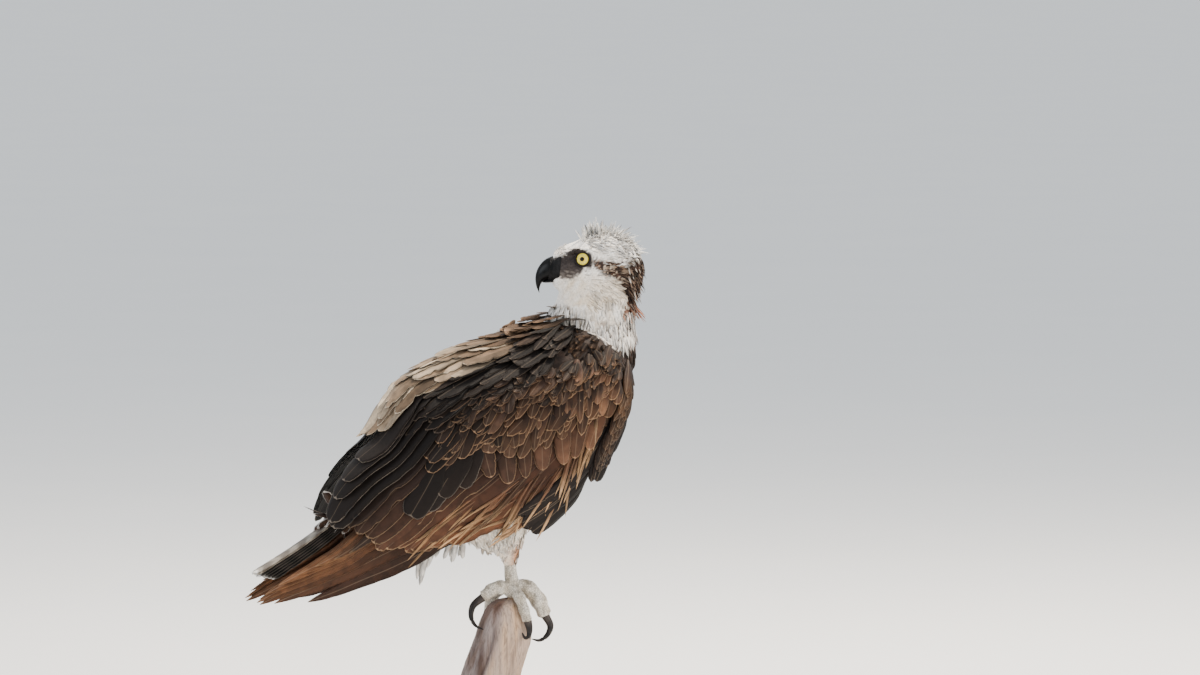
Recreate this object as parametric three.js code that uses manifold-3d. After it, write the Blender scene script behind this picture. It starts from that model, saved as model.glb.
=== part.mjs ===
// A life-size osprey gripping the top of a leaning stake, as a still model on a small stand.
// Millimetres, +Z up. The origin is the middle of the underside of the base.
// The bird's own frame runs u from tail to breast, v to its right side and w from belly to back.
import * as THREE from "three";
import { mergeVertices } from "three/addons/utils/BufferGeometryUtils.js";
import Module from "manifold-3d";

const wasm = await Module();
wasm.setup();

// Driving dimensions
const GAP = 0.3;
const BODY_ORIGIN = new THREE.Vector3(5, 0, 320);
const BODY_PITCH = 35;
const BODY_YAW = 20;
const HEAD_CENTRE = new THREE.Vector3(107, 37, 493);
const HEAD_TURN = 5;
const HEAD_NECK_CUT = 456;
const EYE_RADIUS = 10;
const EYE_OPENING = 8;
const EYE_PLACE = { x: 12.5, y: 16.6, z: 1.2 };
const BILL_BASE = 44;
const BASE_RADIUS = 110;
const BASE_HEIGHT = 18;
const ROD_RADIUS = 7;
const PERCH_BOTTOM = 45;
const PRIMARIES = 8;
const SECONDARIES = 7;
const COVERTS = 7;
const RECTRICES = 12;
const WING_ROUND = 112.5;
const ARM_DEPTH = 9;
const ROOT_DEPTH = 40;
const HAND_DEPTH = 21;
const FLIGHT_THICK = 1.7;
const COVERT_THICK = 1.5;
const FLIGHT_STATIONS = [0, 0.45, 0.86];
const COVERT_STATIONS = [0, 0.5, 0.86];
const TAIL_STATIONS = [0, 0.45, 0.93];
const LOCK_STATIONS = [0, 0.4, 0.78];
const FEATHER_OUTLINE = [[0.42], [0.8], [0.97], [1], [0.93], [0.62]];
const LOCK_OUTLINE = [[0.8], [1], [0.86], [0.5]];
const BROAD_VANE = 21;
const VANE_CAMBER = 0.12;
const VANE_SLANT = 9;
const EARLY_RISE = 0.75;
const NEAR = 0.02;
const EYE_TURN = 17;
const LID_RADIUS = 2;
const CREST_ROWS = 6;
const SHANK_RADIUS = 6.2;
const FOOT_RADIUS = 9.4;
const ANKLE_RADIUS = 8.6;
const CLAW_RADIUS = 4.1;

// Form of the folded wings at each u: w of the top, w of the lower edge, half width
const WING_FORM = [
  [-315, 30, 0, 28],
  [-282, 36, -12, 34],
  [-240, 42, -28, 38],
  [-205, 50, -38, 42],
  [-176, 68, -46, 46],
  [-145, 78, -52, 52],
  [-110, 82, -56, 60],
  [-80, 94, -66, 67],
  [-50, 102, -78, 72],
  [10, 94, -84, 79],
  [60, 78, -72, 80],
  [105, 68, -58, 73],
  [130, 62, -43, 63],
  [148, 40, -28, 47],
  [156, 20, -12, 33],
];

// Torso sections at each u: w of the middle, half depth, half width
const TORSO_FORM = [
  [-116, 23, 16, 18],
  [-90, 20, 38, 34],
  [-60, 15, 57, 47],
  [-20, 12, 65, 57],
  [20, 9, 66, 59],
  [60, 5, 61, 56],
  [100, 1, 51, 48],
  [126, 0, 38, 34],
  [142, 0, 18, 16],
];

// Neck sections at each height: X and Y of the middle, half length, half width
const NECK_FORM = [
  [352, 90, 30, 40, 38],
  [378, 98, 33, 48, 43],
  [392, 104, 33.5, 48, 41],
  [415, 105.5, 35, 45, 38.5],
  [440.5, 103.5, 36, 44, 36.5],
  [456, 107.4, 36.5, 42, 34.5],
  [470, 109, 37, 41.5, 31],
  [484, 109.5, 37, 36, 26],
  [496, 110, 37, 24, 18],
];

// Head sections at each x, forward of its centre: z of the top and bottom, half width, squareness
const HEAD_FORM = [
  [-49.5, -4, -18, 5, 2],
  [-46, 5, -30, 14, 2.1],
  [-38, 17, -40, 22, 2.2],
  [-26, 24.5, -44, 27.5, 2.3],
  [-12, 27.5, -44, 29, 2.4],
  [2, 26.5, -42, 28, 2.4],
  [14, 22.8, -38, 25.5, 2.3],
  [25, 17.8, -35, 21, 2.2],
  [34, 13.4, -33, 16.5, 2.2],
  [40, 8.8, -31, 12.5, 2.3],
  [BILL_BASE - GAP, 4, -26.5, 10, 2.4],
];

// Upper bill from its base to the hook: culmen x and z, cutting edge x and z, half width
const BILL_FORM = [
  [44, 3, 44, -19.4, 9.6],
  [50, 0.4, 48, -20.2, 8.4],
  [55.4, -4.4, 52, -21.4, 6.8],
  [59.6, -11.4, 54.6, -23, 5],
  [61.3, -19.4, 56, -26.4, 3.4],
  [60.2, -27.8, 57, -30.4, 1.7],
];
const BILL_TIP = [57.2, -34.4];

// Lower bill: top x and z, bottom x and z, half width
const LOWER_BILL_FORM = [
  [44, -19.8, 44, -24.4, 8.6],
  [48.5, -20.7, 48, -25, 6.6],
  [52, -22.1, 51.6, -25.2, 3.6],
];
const LOWER_BILL_TIP = [54, -24.2];

// Perch sections at each height: X of the middle, half length, half width
const PERCH_FORM = [
  [PERCH_BOTTOM, -6, 31, 29],
  [70, 0.5, 30, 28.5],
  [90, 7, 29.4, 27],
  [107, 12.5, 28.4, 26],
  [125, 14, 24, 22],
  [140, 15.6, 18, 17.5],
  [146, 17.5, 11, 11],
];
const PERCH_TIP = 149;

// Thigh sections, in the world frame: height, X, Y, half length, half width
const RIGHT_THIGH_FORM = [
  [174, 20.5, 0, 6.8, 6.4],
  [184, 19.4, -0.5, 9, 8.6],
  [195, 17.4, -1.5, 14.5, 13],
  [203, 9, -4, 25, 19],
  [213, 4, -7, 34, 25],
  [235, 0, -10, 42, 31],
  [262, -3, -13, 46, 34],
  [290, -6, -14, 36, 28],
];
// The drawn-up thigh, in the bird's frame: u, v, w, radius
const LEFT_THIGH_PATH = [
  [16, -32, -18, 26],
  [4, -30, -38, 27],
  [-14, -27, -54, 22],
  [-32, -23, -66, 14.5],
  [-47, -19.5, -72, 9],
];

// Feather rows on the folded wing. Places are pairs of u and q, where q runs from
// the ridge of the back at 0 to the lower edge of the wing at 1.
const ROWS = {
  secondaries: {
    count: SECONDARIES,
    roots: [[88, 0.845], [40, 0.72], [-24, 0.49]],
    tips: [[-112, 0.985], [-139, 0.95], [-162, 0.9], [-180, 0.78], [-193, 0.56]],
    width: 28,
    lift: [-6, -2],
    bow: 1.5,
    stations: FLIGHT_STATIONS,
  },
  tertials: {
    count: 4,
    roots: [[-16, 0.46], [-22, 0.33], [-26, 0.2]],
    tips: [[-201, 0.42], [-199, 0.3], [-172, 0.27], [-136, 0.24], [-108, 0.2]],
    width: 30,
    lift: [-5.5, 1],
    bow: 1,
    stations: FLIGHT_STATIONS,
  },
  greater: {
    count: COVERTS,
    roots: [[98, 0.79], [58, 0.7], [12, 0.65], [-25, 0.58], [-56, 0.55]],
    tips: [[48, 0.885], [5, 0.86], [-43, 0.81], [-84, 0.74], [-134, 0.73]],
    width: 23,
    lift: [-5, 0],
    bow: 1.2,
    stations: COVERT_STATIONS,
  },
  median: {
    count: COVERTS,
    roots: [[127, 0.79], [87, 0.65], [40, 0.6], [1, 0.55], [-30, 0.48]],
    tips: [[88, 0.865], [35, 0.8], [-10, 0.75], [-43, 0.67], [-92, 0.6]],
    width: 22,
    lift: [-5, 1],
    bow: 1.1,
    stations: COVERT_STATIONS,
  },
  longScapulars: {
    count: 3,
    roots: [[22, 0.08], [4, 0.17], [-12, 0.27], [-16, 0.36]],
    tips: [[-72, 0.07], [-92, 0.12], [-104, 0.2], [-96, 0.33]],
    width: 27,
    lift: [-5.5, 3],
    bow: 1,
    stations: COVERT_STATIONS,
  },
  midScapulars: {
    count: 3,
    roots: [[72, 0.09], [67, 0.19], [49, 0.28], [32, 0.36]],
    tips: [[-12, 0.08], [-34, 0.14], [-52, 0.26], [-62, 0.4]],
    width: 25,
    lift: [-5.5, 3.6],
    bow: 1,
    stations: COVERT_STATIONS,
  },
  shortScapulars: {
    count: 2,
    roots: [[100, 0.27], [78, 0.42]],
    tips: [[20, 0.22], [-10, 0.4]],
    width: 28,
    lift: [-5.5, 4],
    bow: 1,
    stations: COVERT_STATIONS,
  },
};

const HAND_ROWS = {
  primaries: {
    count: PRIMARIES,
    roots: [[5, 0.97], [34, 0.96], [61, 0.95], [89, 0.94]],
    tips: [
      [-267, 1.03],
      [-303, 0.79],
      [-312, 0.64],
      [-301, 0.56],
      [-279, 0.56],
      [-252, 0.6],
      [-226, 0.65],
      [-206, 0.7],
    ],
    width: 22,
    lift: [-17.5, -9],
    rise: 6,
    stack: 1.3,
    bow: 1,
    stations: FLIGHT_STATIONS,
  },
  primaryCoverts: {
    count: 5,
    roots: [[44, 0.985], [66, 0.97], [92, 0.96]],
    tips: [[-44, 1.045], [-49, 1.01], [-46, 0.975], [-34, 0.955], [-12, 0.945]],
    width: 20,
    lift: [-5, 0],
    bow: 1,
    stations: COVERT_STATIONS,
  },
  alula: {
    count: 3,
    roots: [[104, 0.97], [112, 0.965], [120, 0.955]],
    tips: [[40, 1.035], [58, 1.02], [74, 0.995]],
    width: 15,
    lift: [-5, 1.5],
    bow: 1,
    stations: COVERT_STATIONS,
  },
};

// Colours
const COLOURS = {
  crown: "#e9e3da",
  bill: "#1a1c20",
  eye: "#dccb4c",
  nape: "#8d6f58",
  belly: "#e2d5bf",
  brown: "#5a4335",
  tail: "#a2917c",
  foot: "#c6c3b6",
  claw: "#1c191b",
  perch: "#77645a",
  rod: "#3b3b3d",
  base: "#4a3526",
};

// Small helpers
const rad = (degrees) => THREE.MathUtils.degToRad(degrees);
const mix = THREE.MathUtils.lerp;
const step = (x) => THREE.MathUtils.smoothstep(x, 0, 1);

// A seeded random number from -1 to 1
let seed = 7;
function wobble() {
  seed = (seed * 16807) % 2147483647;
  return (seed / 2147483647) * 2 - 1;
}

// Smooth values of a table's other columns at x, where its first column rises
function along(table, x) {
  const last = table.length - 1;
  const at = THREE.MathUtils.clamp(x, table[0][0], table[last][0]);
  let i = 0;
  while (i < last - 1 && at > table[i + 1][0]) i += 1;
  const span = table[i + 1][0] - table[i][0];
  const t = (at - table[i][0]) / span;
  const slope = (k, c) => {
    const low = Math.max(k - 1, 0);
    const high = Math.min(k + 1, last);
    return (table[high][c] - table[low][c]) / (table[high][0] - table[low][0]);
  };
  const values = [];
  for (let c = 1; c < table[0].length; c += 1) {
    const rise = (t * t * t - 2 * t * t + t) * span * slope(i, c);
    const fall = (t * t * t - t * t) * span * slope(i + 1, c);
    const ease = 3 * t * t - 2 * t * t * t;
    values.push(mix(table[i][c], table[i + 1][c], ease) + rise + fall);
  }
  return values;
}

// The place at share s of a list of points, with straight runs between them
function between(points, s) {
  const at = s * (points.length - 1);
  const i = Math.min(Math.floor(at), points.length - 2);
  return points[i].map((value, c) => mix(value, points[i + 1][c], at - i));
}

// A point of the bird's frame in the world
const cosPitch = Math.cos(rad(BODY_PITCH));
const sinPitch = Math.sin(rad(BODY_PITCH));
const cosYaw = Math.cos(rad(BODY_YAW));
const sinYaw = Math.sin(rad(BODY_YAW));
const FORWARD = new THREE.Vector3(cosPitch * cosYaw, cosPitch * sinYaw, sinPitch);
const RIGHT = new THREE.Vector3(sinYaw, -cosYaw, 0);
const DORSAL = new THREE.Vector3(-sinPitch * cosYaw, -sinPitch * sinYaw, cosPitch);
function bodyPoint(u, v, w) {
  return BODY_ORIGIN.clone()
    .addScaledVector(FORWARD, u)
    .addScaledVector(RIGHT, v)
    .addScaledVector(DORSAL, w);
}

// A point of the head's frame in the world: x along the bill, y to its left, z up
const HEAD_X = new THREE.Vector3(-Math.cos(rad(HEAD_TURN)), -Math.sin(rad(HEAD_TURN)), 0);
const HEAD_Y = new THREE.Vector3(Math.sin(rad(HEAD_TURN)), -Math.cos(rad(HEAD_TURN)), 0);
function headPoint(x, y, z) {
  return HEAD_CENTRE.clone()
    .addScaledVector(HEAD_X, x)
    .addScaledVector(HEAD_Y, y)
    .add(new THREE.Vector3(0, 0, z));
}

// Solids
function solidFrom(points, faces) {
  let volume = 0;
  for (const [a, b, c] of faces) {
    const cross = new THREE.Vector3().crossVectors(points[b], points[c]);
    volume += points[a].dot(cross);
  }
  const outward = volume < 0 ? faces.map(([a, b, c]) => [a, c, b]) : faces;
  const vertProperties = new Float32Array(points.flatMap((p) => [p.x, p.y, p.z]));
  const triVerts = new Uint32Array(outward.flat());
  return new wasm.Manifold(new wasm.Mesh({ numProp: 3, vertProperties, triVerts }));
}

// A solid of a three.js geometry, moved by a matrix where one is given
function solidOf(source, matrix = new THREE.Matrix4()) {
  const geometry = source.clone().applyMatrix4(matrix);
  geometry.deleteAttribute("normal");
  geometry.deleteAttribute("uv");
  const merged = mergeVertices(geometry, 1e-4);
  const place = merged.getAttribute("position");
  const points = [];
  for (let i = 0; i < place.count; i += 1) {
    points.push(new THREE.Vector3().fromBufferAttribute(place, i));
  }
  const faces = [];
  for (let i = 0; i < merged.index.count; i += 3) {
    const face = [0, 1, 2].map((k) => merged.index.getX(i + k));
    if (new Set(face).size === 3) faces.push(face);
  }
  return solidFrom(points, faces);
}

const fuse = (solids) => solids.reduce((whole, piece) => whole.add(piece));

// Only the largest closed surface of a solid
function largest(solid) {
  const pieces = solid.decompose();
  return pieces.reduce((best, piece) => (piece.volume() > best.volume() ? piece : best));
}

// A closed skin over rings of equal length, with a fan at each end
function skin(rings, first, last) {
  const sides = rings[0].length;
  const points = rings.flat();
  const faces = [];
  for (let i = 0; i + 1 < rings.length; i += 1) {
    for (let k = 0; k < sides; k += 1) {
      const a = i * sides + k;
      const b = i * sides + ((k + 1) % sides);
      faces.push([a, b, a + sides], [b, b + sides, a + sides]);
    }
  }
  const start = points.push(first) - 1;
  const end = points.push(last) - 1;
  const base = (rings.length - 1) * sides;
  for (let k = 0; k < sides; k += 1) {
    const next = (k + 1) % sides;
    faces.push([start, next, k], [end, base + k, base + next]);
  }
  return solidFrom(points, faces);
}

// The middle of a ring
function middle(ring) {
  const sum = ring.reduce((total, p) => total.add(p), new THREE.Vector3());
  return sum.divideScalar(ring.length);
}

// A rounded section of a given half width and half height; squareness 2 is an ellipse
function section(sides, halfWidth, halfHeight, squareness = 2) {
  return Array.from({ length: sides }, (_, k) => {
    const turn = ((k + 0.5) / sides) * 2 * Math.PI;
    const cos = Math.cos(turn);
    const sin = Math.sin(turn);
    const power = 2 / squareness;
    return [
      halfWidth * Math.sign(cos) * Math.abs(cos) ** power,
      halfHeight * Math.sign(sin) * Math.abs(sin) ** power,
    ];
  });
}

// A tube along a curve, with a radius for each share t of its length and flat ends
function limb(path, radiusAt, steps, sides) {
  const curve = new THREE.CatmullRomCurve3(path);
  const frames = curve.computeFrenetFrames(steps, false);
  const rings = [];
  for (let i = 0; i <= steps; i += 1) {
    const centre = curve.getPointAt(i / steps);
    const radius = radiusAt(i / steps);
    rings.push(
      section(sides, radius, radius).map(([a, b]) =>
        centre
          .clone()
          .addScaledVector(frames.normals[i], a)
          .addScaledVector(frames.binormals[i], b),
      ),
    );
  }
  return skin(rings, middle(rings[0]), middle(rings[steps]));
}

// Flesh of the body, with an allowance all round for the cuts beside it
function torsoSolid(grow) {
  const low = TORSO_FORM[0][0];
  const high = TORSO_FORM[TORSO_FORM.length - 1][0];
  const rings = [];
  for (let i = 0; i <= 10; i += 1) {
    const u = mix(low, high, i / 10);
    const [centre, depth, half] = along(TORSO_FORM, u);
    rings.push(
      section(16, half + grow, depth + grow, 2.2).map(([v, w]) => bodyPoint(u, v, centre + w)),
    );
  }
  const [rearW] = along(TORSO_FORM, low);
  const [frontW] = along(TORSO_FORM, high);
  return skin(rings, bodyPoint(low - 5 - grow, 0, rearW), bodyPoint(high + 8 + grow, 0, frontW));
}

function neckSolid(grow) {
  const low = NECK_FORM[0][0];
  const high = NECK_FORM[NECK_FORM.length - 1][0];
  const rings = [];
  for (let i = 0; i <= 9; i += 1) {
    const z = mix(low, high, i / 9);
    const [x, y, a, b] = along(NECK_FORM, z);
    rings.push(
      section(16, a + grow, b + grow).map(([dx, dy]) => new THREE.Vector3(x + dx, y + dy, z)),
    );
  }
  const [bottomX, bottomY] = along(NECK_FORM, low);
  const [topX, topY] = along(NECK_FORM, high);
  const bottom = new THREE.Vector3(bottomX, bottomY, low - 4);
  return skin(rings, bottom, new THREE.Vector3(topX, topY, high + 4));
}

function rightThighSolid(grow) {
  const low = RIGHT_THIGH_FORM[0][0];
  const high = RIGHT_THIGH_FORM[RIGHT_THIGH_FORM.length - 1][0];
  const rings = [];
  for (let i = 0; i <= 7; i += 1) {
    const z = mix(low, high, i / 7);
    const [x, y, a, b] = along(RIGHT_THIGH_FORM, z);
    rings.push(
      section(12, a + grow, b + grow).map(([dx, dy]) => new THREE.Vector3(x + dx, y + dy, z)),
    );
  }
  rings[0] = rings[0].map((p) => p.clone().setZ(p.z - grow));
  return skin(rings, middle(rings[0]), middle(rings[rings.length - 1]));
}

function leftThighSolid(grow) {
  const path = LEFT_THIGH_PATH.map(([u, v, w]) => bodyPoint(u, v, w));
  const radii = LEFT_THIGH_PATH.map(([, , , r]) => [r]);
  const solid = limb(path, (t) => between(radii, t)[0] + grow, 6, 12);
  const knob = new THREE.SphereGeometry(ANKLE_RADIUS + grow, 10, 6);
  const ankle = path[path.length - 1];
  const place = new THREE.Matrix4().makeTranslation(ankle.x, ankle.y, ankle.z);
  return solid.add(solidOf(knob, place));
}

// A point on the folded wing at u and q, raised by lift; side is 1 right and -1 left
function wingPoint(side, u, q, lift) {
  const [top, bottom, half] = along(WING_FORM, u);
  const round = rad(q * WING_ROUND);
  const fall = (top - bottom) * (1 - Math.cos(rad(q * 90)));
  const v = half * Math.sin(round) + lift * Math.sin(round);
  return bodyPoint(u, side * v, top - fall + lift * Math.cos(round));
}

// A slab of the folded wing: front and back are u at each q, inner and outer are lifts
function wingSlab(side, form, across, down) {
  const rows = [];
  for (const face of ["outer", "inner"]) {
    for (let j = 0; j <= down; j += 1) {
      for (let i = 0; i <= across; i += 1) {
        const q = mix(form.ridge, 1, j / down);
        const u = mix(form.back, form.front(q), i / across);
        const low = form.edge(u);
        const place = mix(form.ridge, low, j / down);
        rows.push(wingPoint(side, u, place, form[face](u, place, i / across, j / down)));
      }
    }
  }
  const width = across + 1;
  const count = width * (down + 1);
  const faces = [];
  for (let j = 0; j < down; j += 1) {
    for (let i = 0; i < across; i += 1) {
      const a = j * width + i;
      faces.push([a, a + 1, a + width], [a + 1, a + width + 1, a + width]);
      const b = a + count;
      faces.push([b, b + width, b + 1], [b + 1, b + width, b + width + 1]);
    }
  }
  const wall = (a, b) => faces.push([a, a + count, b], [b, a + count, b + count]);
  for (let i = 0; i < across; i += 1) {
    wall(i, i + 1);
    wall(count - width + i + 1, count - width + i);
  }
  for (let j = 0; j < down; j += 1) {
    wall((j + 1) * width, j * width);
    wall(j * width + across, (j + 1) * width + across);
  }
  return solidFrom(rows, faces);
}

// Lowest q of the arm's space at each u: above the hand in front, below the inner vanes behind
const ARM_EDGE = [
  [-207, 0.8],
  [-182, 0.88],
  [-160, 0.96],
  [-135, 1.015],
  [-108, 1.035],
  [-80, 1.0],
  [-48, 0.925],
  [170, 0.925],
];

// The space that belongs to the upper arm's feathers, so that the hand's stay clear under it
function armSpace(side, grow) {
  const rooted = (u, q) => step((0.66 - q) / 0.05) * step((u + 78) / 20);
  const form = {
    ridge: 0.006,
    back: -207 - grow,
    front: () => 164,
    edge: (u) => along(ARM_EDGE, u)[0] + grow / 190,
    outer: () => 26,
    inner: (u, q) => -ARM_DEPTH - grow - (ROOT_DEPTH - ARM_DEPTH) * rooted(u, q),
  };
  return wingSlab(side, form, 12, 8);
}

// The flesh of the upper arm, thin at its rim and thick where it meets the torso
function armPad(side) {
  const rim = (i, j) => step(Math.min(i, 1 - i) / 0.1) * step(Math.min(j, 1 - j) / 0.08);
  const form = {
    ridge: 0.01,
    back: -72,
    front: (q) => 121 + 33 * step((q - 0.2) / 0.45),
    edge: () => 0.9,
    outer: (u, q, i, j) => mix(-6, mix(-3.5, 0.5, step((u - 50) / 50)), rim(i, j)),
    inner: (u, q, i, j) => {
      const root = step((0.62 - q) / 0.06) * step((u + 50) / 25) * step(i / 0.2);
      return mix(-9.4, -ROOT_DEPTH + 8, root * step(j / 0.1));
    },
  };
  return wingSlab(side, form, 8, 7);
}

// The flesh of the hand along the wing's lower edge
function handPad(side) {
  const form = {
    ridge: 0.8,
    back: -22,
    front: () => 153,
    edge: (u) => 1.045 - 0.07 * step((u - 40) / 80),
    outer: (u, q, i, j) => mix(-6.5, -2.5, step(Math.min(i, 1 - i, j + 0.4, 1 - j) / 0.14)),
    inner: () => -20,
  };
  return wingSlab(side, form, 7, 3);
}

// The room that the folded hand takes above the thigh
function handSpace(side) {
  const form = {
    ridge: 0.3,
    back: -150,
    front: () => 150,
    edge: () => 1.16,
    outer: () => 30,
    inner: () => -HAND_DEPTH,
  };
  return wingSlab(side, form, 6, 5);
}

// One vane: four corners at each station and a point at its tip
function vane(pathAt, halfWidthAt, thick, camber, stations) {
  const points = [];
  for (const t of stations) {
    const { centre, across, normal } = pathAt(t);
    const half = halfWidthAt(t);
    const drop = camber * half;
    const body = thick * (1 - 0.35 * t);
    points.push(
      centre.clone().addScaledVector(across, -half).addScaledVector(normal, -drop),
      centre.clone().addScaledVector(normal, body / 2),
      centre.clone().addScaledVector(across, half).addScaledVector(normal, -drop),
      centre.clone().addScaledVector(normal, -body / 2 - 0.2),
    );
  }
  points.push(pathAt(1).centre.clone());
  const faces = [[0, 3, 1], [1, 3, 2]];
  for (let i = 0; i + 1 < stations.length; i += 1) {
    const [l, t, r, b] = [0, 1, 2, 3].map((k) => i * 4 + k);
    const [nl, nt, nr, nb] = [4, 5, 6, 7].map((k) => i * 4 + k);
    faces.push([l, t, nl], [t, nt, nl], [t, r, nr], [t, nr, nt]);
    faces.push([r, b, nr], [b, nb, nr], [b, l, nl], [b, nl, nb]);
  }
  const end = points.length - 1;
  const ring = end - 4;
  for (let k = 0; k < 4; k += 1) {
    faces.push([ring + k, ring + ((k + 1) % 4), end]);
  }
  return solidFrom(points, faces);
}

// Half width of a feather or lock at each share of its length
const halfWidth = (width, outline) => (t) => (width / 2) * between(outline, t)[0];

// One feather of a wing row: it follows the wing from root to tip and tips its lower edge out
function wingFeather(side, row, s, extra) {
  const root = between(row.roots, s);
  const tip = between(row.tips, s);
  const slant = rad(VANE_SLANT);
  const placeAt = (t) => {
    const u = mix(root[0], tip[0], t);
    const q = mix(root[1], tip[1], t ** row.bow);
    return [u, q, mix(row.lift[0], row.lift[1], t ** (row.rise ?? EARLY_RISE)) + extra];
  };
  const pathAt = (t) => {
    const [u, q, lift] = placeAt(t);
    const centre = wingPoint(side, u, q, lift);
    const ahead = wingPoint(side, ...placeAt(t + NEAR)).sub(centre).normalize();
    const out = wingPoint(side, u, q, lift + 1).sub(centre).normalize();
    const flat = new THREE.Vector3().crossVectors(out, ahead).normalize();
    const low = wingPoint(side, u, q + NEAR, lift).sub(centre);
    if (flat.dot(low) < 0) flat.negate();
    const normal = new THREE.Vector3().crossVectors(flat, ahead);
    if (normal.dot(out) < 0) normal.negate();
    const across = flat.clone().multiplyScalar(Math.cos(slant));
    across.addScaledVector(normal, Math.sin(slant));
    const top = normal.clone().multiplyScalar(Math.cos(slant));
    top.addScaledVector(flat, -Math.sin(slant));
    return { centre, across, normal: top };
  };
  const width = row.width * (1 + 0.06 * wobble());
  const thick = row.width > BROAD_VANE ? FLIGHT_THICK : COVERT_THICK;
  return vane(pathAt, halfWidth(width, FEATHER_OUTLINE), thick, VANE_CAMBER, row.stations);
}

function featherRow(side, row) {
  return Array.from({ length: row.count }, (_, k) => {
    const s = row.count > 1 ? k / (row.count - 1) : 0.5;
    return wingFeather(side, row, s, (row.stack ?? 0) * k + 0.25 * wobble());
  });
}

function armSolid(side) {
  const feathers = Object.values(ROWS).flatMap((row) => featherRow(side, row));
  const arm = fuse([armPad(side), ...feathers]).intersect(armSpace(side, 0));
  return clear(arm, [torsoGrown, neckGrown]);
}

function handSolid(side) {
  const feathers = Object.values(HAND_ROWS).flatMap((row) => featherRow(side, row));
  const hand = fuse([handPad(side), ...feathers]);
  return clear(hand, [armSpace(side, GAP), torsoGrown, neckGrown]);
}

// The tail: a short fleshy core with the tail feathers stacked from the middle pair outward
function tailSolid() {
  const rings = [];
  for (let i = 0; i <= 5; i += 1) {
    const t = i / 5;
    const half = mix(27, 13, t);
    const depth = mix(21, 5, t);
    const outline = section(14, half, depth);
    rings.push(outline.map(([v, w]) => bodyPoint(mix(-96, -182, t), v, mix(23, 27, t) + w)));
  }
  const feathers = [];
  for (let k = 0; k < RECTRICES; k += 1) {
    const out = k - (RECTRICES - 1) / 2;
    const depth = Math.abs(out) < 1 ? 2 * (out < 0 ? 1 : 0) : Math.abs(out) * 2.1;
    const inner = Math.abs(out) < 1 ? -11 : 1.2;
    const outer = 12 + 2 * Math.abs(out);
    const place = (Math.sign(out) * (inner + outer)) / 2;
    const width = outer - inner;
    const reach = 291 - 0.35 * out * out + wobble();
    const pathAt = (t) => {
      const v = place * mix(0.75, 1, t);
      const w = mix(31, 36, t) - depth * mix(0.5, 1, t) - 3 * Math.sin(Math.PI * t);
      const lean = rad(Math.abs(out) < 1 ? 0 : Math.sign(out) * (6 + Math.abs(out)));
      const right = RIGHT.clone().multiplyScalar(Math.cos(lean));
      const normal = DORSAL.clone().multiplyScalar(Math.cos(lean));
      return {
        centre: bodyPoint(mix(-150, -reach, t), v, w),
        across: right.addScaledVector(DORSAL, -Math.sin(lean)),
        normal: normal.addScaledVector(RIGHT, Math.sin(lean)),
      };
    };
    const half = halfWidth(width, FEATHER_OUTLINE);
    feathers.push(vane(pathAt, half, FLIGHT_THICK, VANE_CAMBER / 2, TAIL_STATIONS));
  }
  const core = skin(rings, middle(rings[0]), middle(rings[5]));
  return clear(fuse([core, ...feathers]), [torsoGrown]);
}

// Head
function headLoft() {
  const rings = HEAD_FORM.map(([x, top, bottom, half, square]) =>
    section(18, half, (top - bottom) / 2, square).map(([y, z]) =>
      headPoint(x, y * (1 - 0.16 * (z < 0 ? 1 : 0) * (x > 20 ? 1 : 0)), (top + bottom) / 2 + z),
    ),
  );
  const back = headPoint(HEAD_FORM[0][0] - 1, 0, -11);
  return skin(rings, back, middle(rings[rings.length - 1]));
}

function eyePlace(side) {
  const centre = headPoint(EYE_PLACE.x, side * EYE_PLACE.y, EYE_PLACE.z);
  const axis = HEAD_Y.clone().multiplyScalar(side * Math.cos(rad(EYE_TURN)));
  axis.addScaledVector(HEAD_X, Math.sin(rad(EYE_TURN)));
  axis.z += 0.03;
  const turn = new THREE.Quaternion();
  turn.setFromUnitVectors(new THREE.Vector3(0, 0, 1), axis.normalize());
  return { centre, axis, turn };
}

function eyeBall(side, radius) {
  const { centre, turn } = eyePlace(side);
  const stand = new THREE.Quaternion().setFromAxisAngle(new THREE.Vector3(1, 0, 0), Math.PI / 2);
  const matrix = new THREE.Matrix4();
  matrix.compose(centre, turn.clone().multiply(stand), new THREE.Vector3(1, 1, 1));
  return solidOf(new THREE.SphereGeometry(radius, 11, 7), matrix);
}

// The rim of the lids round one eye, and the ridge of the brow over it
function lids(side) {
  const { centre, axis, turn } = eyePlace(side);
  const depth = Math.sqrt(EYE_RADIUS ** 2 - EYE_OPENING ** 2);
  const middleOfRing = centre.clone().addScaledVector(axis, depth);
  const matrix = new THREE.Matrix4();
  matrix.compose(middleOfRing, turn, new THREE.Vector3(1.06, 1, 1));
  const ring = solidOf(new THREE.TorusGeometry(EYE_OPENING + 1, LID_RADIUS, 6, 14), matrix);
  const browPath = [
    headPoint(30, side * 15, 7),
    headPoint(21, side * 22.5, 10.6),
    headPoint(9, side * 25.6, 11),
    headPoint(-4, side * 25.5, 7.5),
  ];
  const brow = limb(browPath, (t) => 1 + 2.4 * Math.sin(Math.PI * mix(0.12, 0.9, t)), 4, 6);
  return ring.add(brow);
}

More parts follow.
